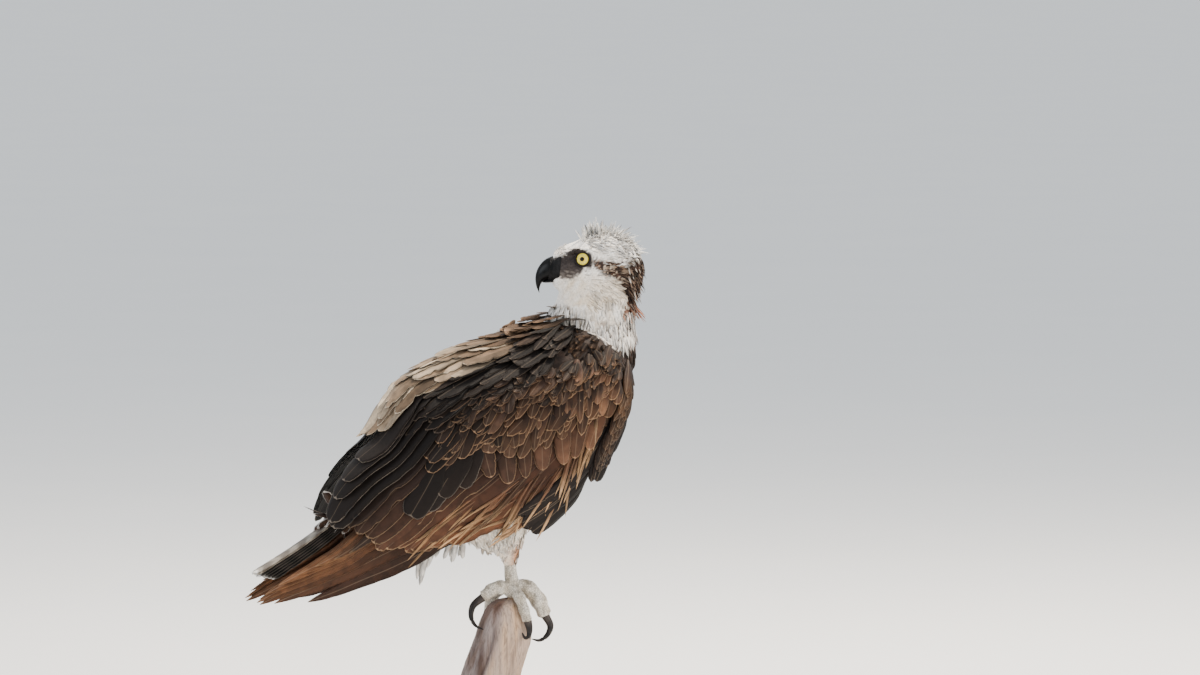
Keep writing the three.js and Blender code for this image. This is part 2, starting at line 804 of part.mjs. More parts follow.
// A flat, tapered lock that leaves the crown and bends back
const HEAD_TOP = HEAD_FORM.map(([x, top]) => [x, top]);
function crestLock(x, y, rise, length, width) {
  const root = headPoint(x, y, along(HEAD_TOP, x)[0] - 5 - 0.012 * y * y);
  const pathAt = (t) => {
    const bend = rad(rise - 24 * t);
    const centre = root.clone().addScaledVector(HEAD_X, -length * t * Math.cos(bend));
    centre.z += length * t * Math.sin(bend);
    centre.addScaledVector(HEAD_Y, 0.1 * y * t);
    const normal = HEAD_X.clone().multiplyScalar(Math.sin(bend));
    normal.z += Math.cos(bend);
    return { centre, across: HEAD_Y.clone(), normal };
  };
  return vane(pathAt, halfWidth(width, LOCK_OUTLINE), 2.4, 0.25, LOCK_STATIONS);
}

// The crest: rows of locks across the crown, steep in front and laid back behind
function crest() {
  const locks = [];
  for (let row = 0; row < CREST_ROWS; row += 1) {
    const back = row / (CREST_ROWS - 1);
    for (const place of row % 2 ? [-0.5, 0.5] : [-1, 0, 1]) {
      const y = place * (9 + row) + wobble();
      const rise = mix(74, 40, back) + 5 * wobble();
      const length = 21 + 3 * Math.sin(Math.PI * back) + 2.5 * wobble();
      const x = mix(14, -38, back) - 2 * Math.abs(place);
      locks.push(crestLock(x, y, rise, length, 10.5));
    }
  }
  return locks;
}

// Locks of the nape, which point down and back behind the stripe
function napeLocks() {
  const locks = [];
  for (let row = 0; row < 3; row += 1) {
    for (const place of row % 2 ? [0] : [-0.7, 0.7]) {
      const y = place * (11 - row) + wobble();
      const root = headPoint(-41 + 0.06 * y * y, y, -4 - row * 13);
      const pathAt = (t) => {
        const centre = root.clone().addScaledVector(HEAD_X, -7 * Math.sin(Math.PI * 0.62 * t));
        centre.z -= 22 * t;
        const normal = HEAD_X.clone().negate();
        normal.z += 0.3;
        return { centre, across: HEAD_Y.clone(), normal: normal.normalize() };
      };
      locks.push(vane(pathAt, halfWidth(10.4, LOCK_OUTLINE), 2.2, 0.25, LOCK_STATIONS));
    }
  }
  return locks;
}

// The groove of the mouth from the corner of the bill to under the eye
function gapeGroove(side) {
  const path = [
    headPoint(BILL_BASE + 4, side * 10.4, -19.9),
    headPoint(40, side * 12.4, -20.4),
    headPoint(33, side * 16.6, -22.2),
    headPoint(26, side * 20, -25),
  ];
  return limb(path, (t) => 1.1 - 0.5 * t, 3, 5);
}

function headSolid() {
  const above = new THREE.Matrix4().makeTranslation(100, 40, HEAD_NECK_CUT + GAP / 2 + 100);
  const keep = solidOf(new THREE.BoxGeometry(240, 240, 200), above);
  const whole = [headLoft(), neckSolid(0), ...crest(), ...napeLocks(), lids(1), lids(-1)];
  let head = fuse(whole).intersect(keep);
  for (const side of [1, -1]) {
    head = head.subtract(eyeBall(side, EYE_RADIUS + GAP));
    head = head.subtract(gapeGroove(side));
  }
  return largest(head.subtract(billSpace()));
}

// Everything in front of the head's flat face belongs to the bill
function billSpace() {
  const turn = new THREE.Quaternion();
  turn.setFromAxisAngle(new THREE.Vector3(0, 0, 1), rad(HEAD_TURN));
  const matrix = new THREE.Matrix4();
  matrix.compose(headPoint(BILL_BASE - GAP + 20, 0, 0), turn, new THREE.Vector3(1, 1, 1));
  return solidOf(new THREE.BoxGeometry(40, 60, 62), matrix);
}

function billSolid(form, tip, peak) {
  const rings = form.map(([topX, topZ, lowX, lowZ, half]) =>
    Array.from({ length: 16 }, (_, k) => {
      const turn = (k / 16) * 2 * Math.PI;
      const share = (1 - Math.cos(turn)) / 2;
      const belly = Math.sin(turn) * (1 + peak * Math.cos(turn));
      return headPoint(mix(topX, lowX, share), half * belly, mix(topZ, lowZ, share));
    }),
  );
  return skin(rings, middle(rings[0]), headPoint(tip[0], 0, tip[1]));
}

function upperBillSolid() {
  let bill = billSolid(BILL_FORM, BILL_TIP, -0.12);
  for (const side of [1, -1]) {
    const path = [
      headPoint(47.2, side * 10, -7.4),
      headPoint(48.6, side * 6.4, -8.6),
    ];
    bill = bill.subtract(limb(path, () => 1.3, 2, 6));
  }
  return largest(bill);
}

// Feet and claws
const RIGHT_TARSUS = [[20.4, 0, 182], [21, 0, 172], [22.5, -1, 163], [22, -1, 157]];
const RIGHT_TOES = [
  { path: [[21, -2, 158], [6, -6, 159], [-7.6, -8, 149.4]], radius: [7.2, 6.8, 6.2] },
  {
    path: [[24, -6, 157], [30, -14, 150], [34.5, -18, 138], [38.6, -18, 125.4]],
    radius: [6, 5.6, 4.9],
  },
  {
    path: [[23, 0, 158], [35, 2, 159], [47.5, 1, 148], [56.5, -1, 129.6]],
    radius: [8, 8.4, 7],
  },
  { path: [[20, 2, 158], [9, 14, 156], [0, 24, 142], [-2, 27, 127]], radius: [6.8, 6.4, 5.4] },
];
const RIGHT_CLAWS = [
  [
    [-8.3, -8.2, 148.7], [-17.4, -10, 141], [-19.4, -13, 130],
    [-14.8, -16.5, 121.5], [-6.6, -19, 117.6],
  ],
  [
    [38.8, -18, 124.8], [40.2, -19, 117], [39, -20.5, 110.4],
    [35.6, -21.4, 109.6], [32.6, -21.6, 115],
  ],
  [[56.9, -1, 128.9], [61.4, -1.6, 119.4], [58, -3, 110], [50.4, -4.4, 105], [42.4, -6, 106.6]],
  [
    [-2.1, 27.1, 126.3], [-5.4, 29, 116], [-3.4, 29.6, 106.5],
    [1.2, 28.8, 101], [6, 27.8, 99.8],
  ],
];
const LEFT_TARSUS = [[-48, -19.5, -72], [-30, -17, -75], [-10, -14, -76], [8, -13, -77]];
const LEFT_TOES = [
  { path: [[2, -14, -80], [-7, -17, -88], [-10, -18, -99]], radius: [6.6, 6, 5.2] },
  { path: [[4, -15, -78], [20, -23, -82], [28, -26, -93], [22, -26, -104]], radius: [6.4, 6, 5.2] },
  { path: [[5, -13, -78], [22, -12, -81], [31, -11, -92], [25, -11, -104]], radius: [6.6, 6.2, 5.4] },
  { path: [[4, -11, -78], [18, -1, -82], [26, 4, -92], [20, 5, -103]], radius: [6.4, 6, 5.2] },
];
const LEFT_CLAWS = [
  [[-10.1, -18, -99.6], [-8, -18.4, -108], [-1, -18.6, -114], [8, -18.6, -115.6]],
  [[21.7, -26, -104.6], [14, -26.4, -110], [6, -26.6, -108.6], [1, -26.6, -101.6]],
  [[24.7, -11, -104.6], [17, -10.6, -110], [9, -10, -109], [3, -9.8, -102]],
  [[19.7, 5, -103.6], [12, 5.6, -108.6], [4, 6, -106.6], [0, 6, -99.6]],
];
const toWorld = ([x, y, z]) => new THREE.Vector3(x, y, z);
const toBody = ([u, v, w]) => bodyPoint(u, v, w);
const LEGS = {
  right: { tarsus: RIGHT_TARSUS, toes: RIGHT_TOES, claws: RIGHT_CLAWS, place: toWorld },
  left: { tarsus: LEFT_TARSUS, toes: LEFT_TOES, claws: LEFT_CLAWS, place: toBody },
};

// A toe swells at each of its joints
function toeSolid({ path, radius }, place, grow) {
  const pads = radius.map((r) => [r]);
  const swell = (t) => 1 + 0.09 * Math.cos(2 * Math.PI * 3 * t);
  return limb(path.map(place), (t) => between(pads, t)[0] * swell(t) + grow, 5, 7);
}

function footSolid(tarsus, toes, place, grow) {
  const shank = limb(tarsus.map(place), (t) => SHANK_RADIUS + 2.2 * t * t + grow, 4, 9);
  const hub = place(tarsus[tarsus.length - 1]);
  const ball = new THREE.SphereGeometry(FOOT_RADIUS + grow, 9, 6);
  const knob = solidOf(ball, new THREE.Matrix4().makeTranslation(hub.x, hub.y, hub.z));
  return fuse([shank, knob, ...toes.map((toe) => toeSolid(toe, place, grow))]);
}

// A claw grows from inside its toe and tapers to a point
function clawSolid(path, place) {
  const points = path.map(place);
  points[0].add(points[0].clone().sub(points[1]).setLength(1.5));
  return limb(points, (t) => CLAW_RADIUS * (1 - t) ** 0.75 + 0.35, 6, 5);
}

// A solid cut clear of those beside it
function clear(solid, beside) {
  return largest(beside.reduce((rest, other) => rest.subtract(other), solid));
}

// The leaning stake, weathered to a rounded point
function perchSolid(grow) {
  const high = PERCH_FORM[PERCH_FORM.length - 1][0];
  const rings = [];
  for (let i = 0; i <= 7; i += 1) {
    const z = mix(PERCH_BOTTOM, high, i / 7);
    const [x, a, b] = along(PERCH_FORM, z);
    rings.push(
      section(14, a, b, 2.3).map(([dx, dy], k) => {
        const rough = 1 + 0.035 * Math.sin(k * 2.4) + 0.02 * Math.sin(k * 5.1 + i * 1.3);
        const reach = Math.hypot(dx, dy);
        const scale = (reach * rough + grow) / reach;
        return new THREE.Vector3(x + dx * scale, dy * scale, z);
      }),
    );
  }
  const foot = new THREE.Vector3(PERCH_FORM[0][1], 0, PERCH_BOTTOM);
  return skin(rings, foot, new THREE.Vector3(19.4, 0, PERCH_TIP + grow));
}

function baseSolid() {
  const edge = 4;
  const profile = [
    [0, 0],
    [BASE_RADIUS - 1.5, 0],
    [BASE_RADIUS, 1.5],
    [BASE_RADIUS, BASE_HEIGHT - edge],
    [BASE_RADIUS - edge * 0.3, BASE_HEIGHT - edge * 0.3],
    [BASE_RADIUS - edge, BASE_HEIGHT],
    [0, BASE_HEIGHT],
  ].map(([x, y]) => new THREE.Vector2(x, y));
  const matrix = new THREE.Matrix4().makeRotationX(Math.PI / 2);
  return solidOf(new THREE.LatheGeometry(profile, 30), matrix);
}

function rodSolid() {
  const low = BASE_HEIGHT + GAP;
  const high = PERCH_BOTTOM - GAP;
  const place = new THREE.Matrix4().makeTranslation(PERCH_FORM[0][1], 0, (low + high) / 2);
  place.multiply(new THREE.Matrix4().makeRotationX(Math.PI / 2));
  return solidOf(new THREE.CylinderGeometry(ROD_RADIUS, ROD_RADIUS, high - low, 18), place);
}

// The parts in the order in which each is cut clear of those before it
const torsoGrown = torsoSolid(GAP);
const neckGrown = neckSolid(GAP);
const perchGrown = perchSolid(GAP);
const below = new THREE.Matrix4().makeTranslation(100, 40, HEAD_NECK_CUT - GAP / 2 - 100);
const belowCut = solidOf(new THREE.BoxGeometry(240, 240, 200), below);

const leftFootGrown = footSolid(LEFT_TARSUS, LEFT_TOES, toBody, GAP);
const torso = torsoSolid(0);
const neck = clear(neckSolid(0).intersect(belowCut), [torsoGrown]);
const leftThigh = clear(leftThighSolid(0), [torsoGrown, handSpace(-1)]);
const rightThigh = clear(rightThighSolid(0), [
  torsoGrown,
  leftThighSolid(GAP),
  leftFootGrown,
  handSpace(1),
]);
const beside = {
  right: [rightThighSolid(GAP), perchGrown],
  left: [leftThighSolid(GAP), torsoGrown],
};

const scene = new THREE.Group();
const bird = new THREE.Group();
const stand = new THREE.Group();
scene.add(bird, stand);

// A named mesh of one solid, placed at its own middle
function addPart(group, name, solid, colour, roughness = 0.8, metalness = 0) {
  const { vertProperties, triVerts, numProp } = solid.getMesh();
  const positions = new Float32Array((vertProperties.length / numProp) * 3);
  for (let i = 0; i * numProp < vertProperties.length; i += 1) {
    positions.set(vertProperties.subarray(i * numProp, i * numProp + 3), i * 3);
  }
  const geometry = new THREE.BufferGeometry();
  geometry.setAttribute("position", new THREE.BufferAttribute(positions, 3));
  geometry.setIndex(new THREE.BufferAttribute(triVerts, 1));
  geometry.computeBoundingBox();
  const centre = geometry.boundingBox.getCenter(new THREE.Vector3()).round();
  geometry.translate(-centre.x, -centre.y, -centre.z);
  geometry.computeVertexNormals();
  const material = new THREE.MeshStandardMaterial({ color: colour, roughness, metalness });
  const mesh = new THREE.Mesh(geometry, material);
  mesh.name = name;
  mesh.position.copy(centre);
  group.add(mesh);
}

addPart(bird, "head", headSolid(), COLOURS.crown);
addPart(bird, "bill_upper", upperBillSolid(), COLOURS.bill, 0.3);
addPart(bird, "bill_lower", billSolid(LOWER_BILL_FORM, LOWER_BILL_TIP, 0), COLOURS.bill, 0.3);
addPart(bird, "neck", neck, COLOURS.nape);
addPart(bird, "torso", torso, COLOURS.belly);
addPart(bird, "tail", tailSolid(), COLOURS.tail);
addPart(bird, "thigh_right", rightThigh, COLOURS.belly);
addPart(bird, "thigh_left", leftThigh, COLOURS.belly);
for (const [name, side] of [["right", 1], ["left", -1]]) {
  addPart(bird, "wing_" + name + "_arm", armSolid(side), COLOURS.brown);
  addPart(bird, "wing_" + name + "_hand", handSolid(side), COLOURS.brown);
  addPart(bird, "eye_" + name, eyeBall(-side, EYE_RADIUS), COLOURS.eye, 0.15);
}
for (const [name, leg] of Object.entries(LEGS)) {
  const foot = clear(footSolid(leg.tarsus, leg.toes, leg.place, 0), beside[name]);
  const footGrown = footSolid(leg.tarsus, leg.toes, leg.place, GAP);
  addPart(bird, "foot_" + name, foot, COLOURS.foot);
  leg.claws.forEach((path, k) => {
    const claw = clear(clawSolid(path, leg.place), [footGrown, ...beside[name]]);
    addPart(bird, "claw_" + name + "_" + (k + 1), claw, COLOURS.claw, 0.35);
  });
}
addPart(stand, "perch", perchSolid(0), COLOURS.perch);
addPart(stand, "stand_rod", rodSolid(), COLOURS.rod, 0.4, 0.9);
addPart(stand, "stand_base", baseSolid(), COLOURS.base, 0.5);

export default scene;
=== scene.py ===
import math
import bpy
import numpy as np
from mathutils import Matrix, Vector


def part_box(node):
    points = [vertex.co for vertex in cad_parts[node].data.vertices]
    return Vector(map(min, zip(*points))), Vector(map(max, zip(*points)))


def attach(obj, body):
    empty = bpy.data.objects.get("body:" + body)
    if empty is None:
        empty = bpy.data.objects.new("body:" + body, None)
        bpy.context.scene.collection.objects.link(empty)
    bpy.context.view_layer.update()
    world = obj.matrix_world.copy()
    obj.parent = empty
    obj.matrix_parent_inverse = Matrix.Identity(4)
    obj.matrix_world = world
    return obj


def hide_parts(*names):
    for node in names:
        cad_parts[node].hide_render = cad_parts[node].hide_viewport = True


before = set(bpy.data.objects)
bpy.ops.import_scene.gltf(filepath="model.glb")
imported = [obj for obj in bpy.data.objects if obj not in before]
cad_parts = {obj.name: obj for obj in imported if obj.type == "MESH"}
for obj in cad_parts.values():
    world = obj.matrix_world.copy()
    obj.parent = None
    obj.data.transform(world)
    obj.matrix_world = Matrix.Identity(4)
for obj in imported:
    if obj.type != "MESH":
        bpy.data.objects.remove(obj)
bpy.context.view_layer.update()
chance = np.random.default_rng(11)

# Sizes below are in millimetres and become metres when a piece is made.
MM = 0.001
# The bird's own frame, in which u runs forward, v to its right and w toward its back
BODY_ORIGIN = np.array([5.0, 0.0, 320.0])
BODY_PITCH = math.radians(35)
BODY_YAW = math.radians(20)
# The head's own frame, in which x runs toward the bill, y to the bird's left and z up
HEAD_CENTRE = np.array([107.0, 37.0, 493.0])
HEAD_TURN = math.radians(5)
# How far a folded wing wraps round the body, from the ridge of the back to its lower edge
WING_ROUND = math.radians(112.5)
EYE_RADIUS = 10.0
LID_GAP = 0.3
CORNEA_RISE = 1.1
CORNEA_EDGE = 0.75
EYE_PLACE = (12.5, 16.6, 1.2)
EYE_FORWARD = math.radians(17)
IRIS_RADIUS = 6.4
PUPIL_RADIUS = 2.35
# How far the skin lies inside the solids, under the coat
COAT_DEPTH = 5.0
HEAD_COAT = 2.0
THIGH_COAT = 2.5
SKIN_VOXEL = 2.0

# Folded wings at each u: w of the top, w of the lower edge, half width
WING_FORM = [
    [-315, 30, 0, 28], [-282, 36, -12, 34], [-240, 42, -28, 38], [-205, 50, -38, 42],
    [-176, 68, -46, 46], [-145, 78, -52, 52], [-110, 82, -56, 60], [-80, 94, -66, 67],
    [-50, 102, -78, 72], [10, 94, -84, 79], [60, 78, -72, 80], [105, 68, -58, 73],
    [130, 62, -43, 63], [148, 40, -28, 47], [156, 20, -12, 33],
]
# Torso at each u: w of the middle, half depth, half width
TORSO_FORM = [
    [-116, 23, 16, 18], [-90, 20, 38, 34], [-60, 15, 57, 47], [-20, 12, 65, 57],
    [20, 9, 66, 59], [60, 5, 61, 56], [100, 1, 51, 48], [126, 0, 38, 34], [142, 0, 18, 16],
]
# Neck at each height: X and Y of the middle, half length, half width
NECK_FORM = [
    [352, 90, 30, 40, 38], [378, 98, 33, 48, 43], [392, 104, 33.5, 48, 41],
    [415, 105.5, 35, 45, 38.5], [440.5, 103.5, 36, 44, 36.5], [456, 107.4, 36.5, 42, 34.5],
    [470, 109, 37, 41.5, 31], [484, 109.5, 37, 36, 26], [496, 110, 37, 24, 18],
]
# Head at each x: z of the top and bottom, half width, squareness
HEAD_FORM = [
    [-49.5, -4, -18, 5, 2], [-46, 5, -30, 14, 2.1], [-38, 17, -40, 22, 2.2],
    [-26, 24.5, -44, 27.5, 2.3], [-12, 27.5, -44, 29, 2.4], [2, 26.5, -42, 28, 2.4],
    [14, 22.8, -38, 25.5, 2.3], [25, 17.8, -35, 21, 2.2], [34, 13.4, -33, 16.5, 2.2],
    [40, 8.8, -31, 12.5, 2.3], [43.7, 4, -26.5, 10, 2.4],
]
# Upper bill: culmen x and z, cutting edge x and z, half width
BILL_FORM = [
    [42, 4.6, 42, -21, 9.8], [44, 3.2, 44, -21.2, 9.6], [50, 0.6, 48, -21.8, 8.4],
    [55.4, -4.2, 52, -22.6, 6.8], [59.6, -11.2, 54.6, -24, 5],
    [61.3, -19.4, 56, -26.4, 3.4], [60.2, -27.8, 57, -30.4, 1.7],
    [57.4, -34.2, 57, -34.4, 0.25],
]
LOWER_BILL_FORM = [
    [44, -19.8, 44, -24, 8.2], [48.5, -20.7, 48, -24.2, 6], [52, -21.6, 51.6, -24.2, 3.4],
    [53.8, -22.6, 53.8, -23.8, 0.5],
]
# Perch at each height: X of the middle, half length, half width
PERCH_FORM = [
    [45, -6, 31, 29], [70, 0.5, 30, 28.5], [90, 7, 29.4, 27], [107, 12.5, 28.4, 26],
    [125, 14, 24, 22], [140, 15.6, 18, 17.5], [146, 17.5, 11, 11], [149, 19.4, 2, 2],
]
# Right thigh at each height: X and Y of the middle, half length, half width
RIGHT_THIGH_FORM = [
    [174, 20.5, 0, 6.8, 6.4], [184, 19.4, -0.5, 9, 8.6], [195, 17.4, -1.5, 14.5, 13],
    [203, 9, -4, 25, 19], [213, 4, -7, 34, 25], [235, 0, -10, 42, 31],
    [262, -3, -13, 46, 34], [290, -6, -14, 36, 28],
]
# Drawn-up left thigh in the bird's own frame: u, v, w, radius
LEFT_THIGH_PATH = [
    [16, -32, -18, 26], [4, -30, -38, 27], [-14, -27, -54, 22], [-32, -23, -66, 14.5],
    [-47, -19.5, -72, 9],
]
# Right leg: middle points of the shank, of each toe with its radii, and of each claw
RIGHT_TARSUS = [[20.4, 0, 182], [21, 0, 172], [22.5, -1, 163], [22, -1, 157]]
RIGHT_TOES = [
    ([[21, -2, 158], [6, -6, 159], [-7.6, -8, 149.4]], [7.2, 6.8, 6.2]),
    ([[24, -6, 157], [30, -14, 150], [34.5, -18, 138], [38.6, -18, 125.4]], [6, 5.6, 4.9]),
    ([[23, 0, 158], [35, 2, 159], [47.5, 1, 148], [56.5, -1, 129.6]], [8, 8.4, 7]),
    ([[20, 2, 158], [9, 14, 156], [0, 24, 142], [-2, 27, 127]], [6.8, 6.4, 5.4]),
]
RIGHT_CLAWS = [
    [[-8.3, -8.2, 148.7], [-17.4, -10, 141], [-19.4, -13, 130], [-14.8, -16.5, 121.5],
     [-6.6, -19, 117.6]],
    [[38.8, -18, 124.8], [40.2, -19, 117], [39, -20.5, 110.4], [35.6, -21.4, 109.6],
     [32.6, -21.6, 115]],
    [[56.9, -1, 128.9], [61.4, -1.6, 119.4], [58, -3, 110], [50.4, -4.4, 105],
     [42.4, -6, 106.6]],
    [[-2.1, 27.1, 126.3], [-5.4, 29, 116], [-3.4, 29.6, 106.5], [1.2, 28.8, 101],
     [6, 27.8, 99.8]],
]
# Left leg in the bird's own frame, closed under the belly
LEFT_TARSUS = [[-48, -19.5, -72], [-30, -17, -75], [-10, -14, -76], [8, -13, -77]]
LEFT_TOES = [
    ([[2, -14, -80], [-7, -17, -88], [-10, -18, -99]], [6.6, 6, 5.2]),
    ([[4, -15, -78], [20, -23, -82], [28, -26, -93], [22, -26, -104]], [6.4, 6, 5.2]),
    ([[5, -13, -78], [22, -12, -81], [31, -11, -92], [25, -11, -104]], [6.6, 6.2, 5.4]),
    ([[4, -11, -78], [18, -1, -82], [26, 4, -92], [20, 5, -103]], [6.4, 6, 5.2]),
]
LEFT_CLAWS = [
    [[-10.1, -18, -99.6], [-8, -18.4, -108], [-1, -18.6, -114], [8, -18.6, -115.6]],
    [[21.7, -26, -104.6], [14, -26.4, -110], [6, -26.6, -108.6], [1, -26.6, -101.6]],
    [[24.7, -11, -104.6], [17, -10.6, -110], [9, -10, -109], [3, -9.8, -102]],
    [[19.7, 5, -103.6], [12, 5.6, -108.6], [4, 6, -106.6], [0, 6, -99.6]],
]


# Small sums
def ease(x):
    """Smooth step of x from 0 to 1."""
    x = np.clip(x, 0.0, 1.0)
    return x * x * (3 - 2 * x)


def unit(v):
    """Vectors at length 1."""
    return v / np.maximum(np.linalg.norm(v, axis=-1, keepdims=True), 1e-9)


def along(table, x):
    """Smooth values of a table's other columns at x, where its first column rises."""
    rows = np.array(table, float)
    x = np.clip(np.asarray(x, float), rows[0, 0], rows[-1, 0])
    last = len(rows) - 1
    low = np.clip(np.searchsorted(rows[:, 0], x, side="right") - 1, 0, last - 1)
    before = np.maximum(np.arange(last + 1) - 1, 0)
    after = np.minimum(np.arange(last + 1) + 1, last)
    slope = (rows[after] - rows[before]) / (rows[after, :1] - rows[before, :1])
    span = (rows[low + 1, 0] - rows[low, 0])[..., None]
    t = (x - rows[low, 0])[..., None] / span
    blend = t * t * (3 - 2 * t)
    rise = (t ** 3 - 2 * t ** 2 + t) * span * slope[low]
    fall = (t ** 3 - t ** 2) * span * slope[low + 1]
    return (rows[low] * (1 - blend) + rows[low + 1] * blend + rise + fall)[..., 1:]


def between(points, s):
    """Places at shares s of a list of points, with straight runs between them."""
    points = np.array(points, float)
    at = np.asarray(s, float) * (len(points) - 1)
    low = np.clip(at.astype(int), 0, len(points) - 2)
    part = (at - low)[..., None]
    return points[low] * (1 - part) + points[low + 1] * part


def around(count):
    """Even angles round a full turn."""
    return np.arange(count) / count * 2 * math.pi


def smooth_path(points, count):
    """Even points along a smooth curve through the given ones."""
    points = np.array(points, float)
    run = np.r_[0, np.cumsum(np.linalg.norm(np.diff(points, axis=0), axis=1))]
    return along(np.column_stack([run, points]), np.linspace(0, run[-1], count))


def linear(colour):
    """An sRGB hex colour as linear red, green and blue."""
    parts = np.array([int(colour[i:i + 2], 16) for i in (1, 3, 5)]) / 255
    return np.where(parts <= 0.04045, parts / 12.92, ((parts + 0.055) / 1.055) ** 2.4)


def shade(*stops):
    """Colours that run through hex stops: returns a function of a share from 0 to 1."""
    colours = [linear(c) for c in stops]
    return lambda share: between(colours, np.clip(share, 0, 1))


# Frames of the bird
FORWARD = np.array([
    math.cos(BODY_PITCH) * math.cos(BODY_YAW),
    math.cos(BODY_PITCH) * math.sin(BODY_YAW),
    math.sin(BODY_PITCH),
])
RIGHT = np.array([math.sin(BODY_YAW), -math.cos(BODY_YAW), 0.0])
DORSAL = np.cross(RIGHT, FORWARD)
HEAD_X = np.array([-math.cos(HEAD_TURN), -math.sin(HEAD_TURN), 0.0])
HEAD_Y = np.array([math.sin(HEAD_TURN), -math.cos(HEAD_TURN), 0.0])
UP = np.array([0.0, 0.0, 1.0])


def placed(origin, axes, *coordinates):
    """Points from their coordinates along three axes."""
    parts = np.broadcast_arrays(*coordinates)
    return origin + sum(part[..., None] * axis for part, axis in zip(parts, axes))


def body_point(u, v, w):
    """A point from its reach forward, right and toward the back of the body's middle."""
    return placed(BODY_ORIGIN, (FORWARD, RIGHT, DORSAL), u, v, w)


def head_point(x, y, z):
    """A point from its reach toward the bill, to the bird's left and up from the head's middle."""
    return placed(HEAD_CENTRE, (HEAD_X, HEAD_Y, UP), x, y, z)


def wing_point(side, u, q, lift):
    """A point on the folded wing: q is 0 on the ridge of the back and 1 on the lower edge."""
    top, bottom, half = np.moveaxis(along(WING_FORM, u), -1, 0)
    turn = q * WING_ROUND
    fall = (top - bottom) * (1 - np.cos(q * math.pi / 2))
    v = (half + lift) * np.sin(turn)
    return body_point(u, side * v, top - fall + lift * np.cos(turn))


# Making meshes
def make_piece(name, points, faces, finish, slot, smooth=True):
    """A mesh object from points in millimetres and arrays of faces, riding on the root."""
    mesh = bpy.data.meshes.new(name)
    corners = np.concatenate([np.asarray(f, np.int32).ravel() for f in faces])
    sizes = np.concatenate([np.full(len(f), np.shape(f)[1], np.int32) for f in faces])
    mesh.vertices.add(len(points))
    mesh.vertices.foreach_set("co", (np.asarray(points) * MM).ravel())
    mesh.loops.add(len(corners))
    mesh.loops.foreach_set("vertex_index", corners)
    mesh.polygons.add(len(sizes))
    mesh.polygons.foreach_set("loop_start", np.r_[0, np.cumsum(sizes)[:-1]].astype(np.int32))
    mesh.update(calc_edges=True)
    mesh.validate()
    mesh.polygons.foreach_set("use_smooth", np.full(len(mesh.polygons), smooth))
    piece = bpy.data.objects.new(name, mesh)
    bpy.context.scene.collection.objects.link(piece)
    if finish:
        mesh.materials.append(finish)
    if slot:
        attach(piece, "root")
    return piece


def paint(piece, name, values):
    """Keeps one colour for each point of a piece, for its material."""
    layer = piece.data.color_attributes.new(name, "FLOAT_COLOR", "POINT")
    full = np.ones((len(piece.data.vertices), 4), np.float32)
    full[:, :values.shape[1]] = values
    layer.data.foreach_set("color", full.ravel())


def lay_out(piece, name, places):
    """A UV map from one place for each point of a piece."""
    corner = np.empty(len(piece.data.loops), np.int32)
    piece.data.loops.foreach_get("vertex_index", corner)
    layer = piece.data.uv_layers.new(name=name)
    layer.data.foreach_set("uv", places[corner].astype(np.float32).ravel())


def tube(rings, caps=True):
    """Points and faces of a skin over rings of equal length, with a fan at each end."""
    rings = np.asarray(rings, float)
    count, sides = rings.shape[:2]
    points = rings.reshape(-1, 3)
    at = np.arange(count * sides).reshape(count, sides)
    turned = np.roll(at, -1, axis=1)
    quads = np.stack([at[:-1], turned[:-1], turned[1:], at[1:]], -1).reshape(-1, 4)
    if not caps:
        return points, [quads]
    points = np.vstack([points, rings[0].mean(0), rings[-1].mean(0)])
    end = count * sides
    first = np.stack([np.full(sides, end), turned[0], at[0]], -1)
    last = np.stack([np.full(sides, end + 1), at[-1], turned[-1]], -1)
    return points, [quads, first, last]


def joined(parts):
    """Several sets of points and faces as one."""
    points, faces, start = [], [], 0
    for part_points, part_faces in parts:
        points.append(part_points)
        faces += [np.asarray(f) + start for f in part_faces]
        start += len(part_points)
    return np.vstack(points), faces


def oval(count, a, b, square=2.0):
    """Offsets round a rounded section; a squareness of 2 is an ellipse."""
    turn = (np.arange(count) + 0.5) / count * 2 * math.pi
    power = 2 / square
    cos, sin = np.cos(turn), np.sin(turn)
    return a * np.sign(cos) * np.abs(cos) ** power, b * np.sign(sin) * np.abs(sin) ** power


def limb(path, radius, sides, count, up, shape=None):
    """A round limb along a path: up is its upper side, shape(t, turn) alters its radius."""
    centre = smooth_path(path, count)
    t = np.linspace(0, 1, count)
    ahead = unit(np.gradient(centre, axis=0))
    up = np.broadcast_to(up, centre.shape)
    top = unit(up - (up * ahead).sum(1, keepdims=True) * ahead)
    across = np.cross(ahead, top)
    turn = around(sides)
    reach = np.broadcast_to(radius(t)[:, None], (count, sides))
    if shape:
        reach = reach * shape(t[:, None], turn[None, :])
    rings = (
        centre[:, None]
        + reach[..., None] * np.cos(turn)[None, :, None] * top[:, None]
        + reach[..., None] * np.sin(turn)[None, :, None] * across[:, None]
    )
    return tube(rings)


def level_ring(x, y, dx, dy, z):
    """A ring of points about an upright line."""
    return np.stack([x + dx, y + dy, np.broadcast_to(z, np.shape(dx))], -1)


def turned_form(profile, x, y, sides):
    """A turned form about a vertical line through x and y, from radius and height pairs."""
    turn = around(sides)
    return tube([level_ring(x, y, r * np.cos(turn), r * np.sin(turn), z) for r, z in profile])


# Finishes
# Half width of a feather, in millimetres, that a Place value of 1 stands for
WIDEST = 20.0
# Millimetres that a step of 1 stands for on the Barbs map
BARB_MAP = 100.0


def every(size):
    """Scale of a pattern whose marks lie about this many millimetres apart."""
    return 1 / (size * MM)


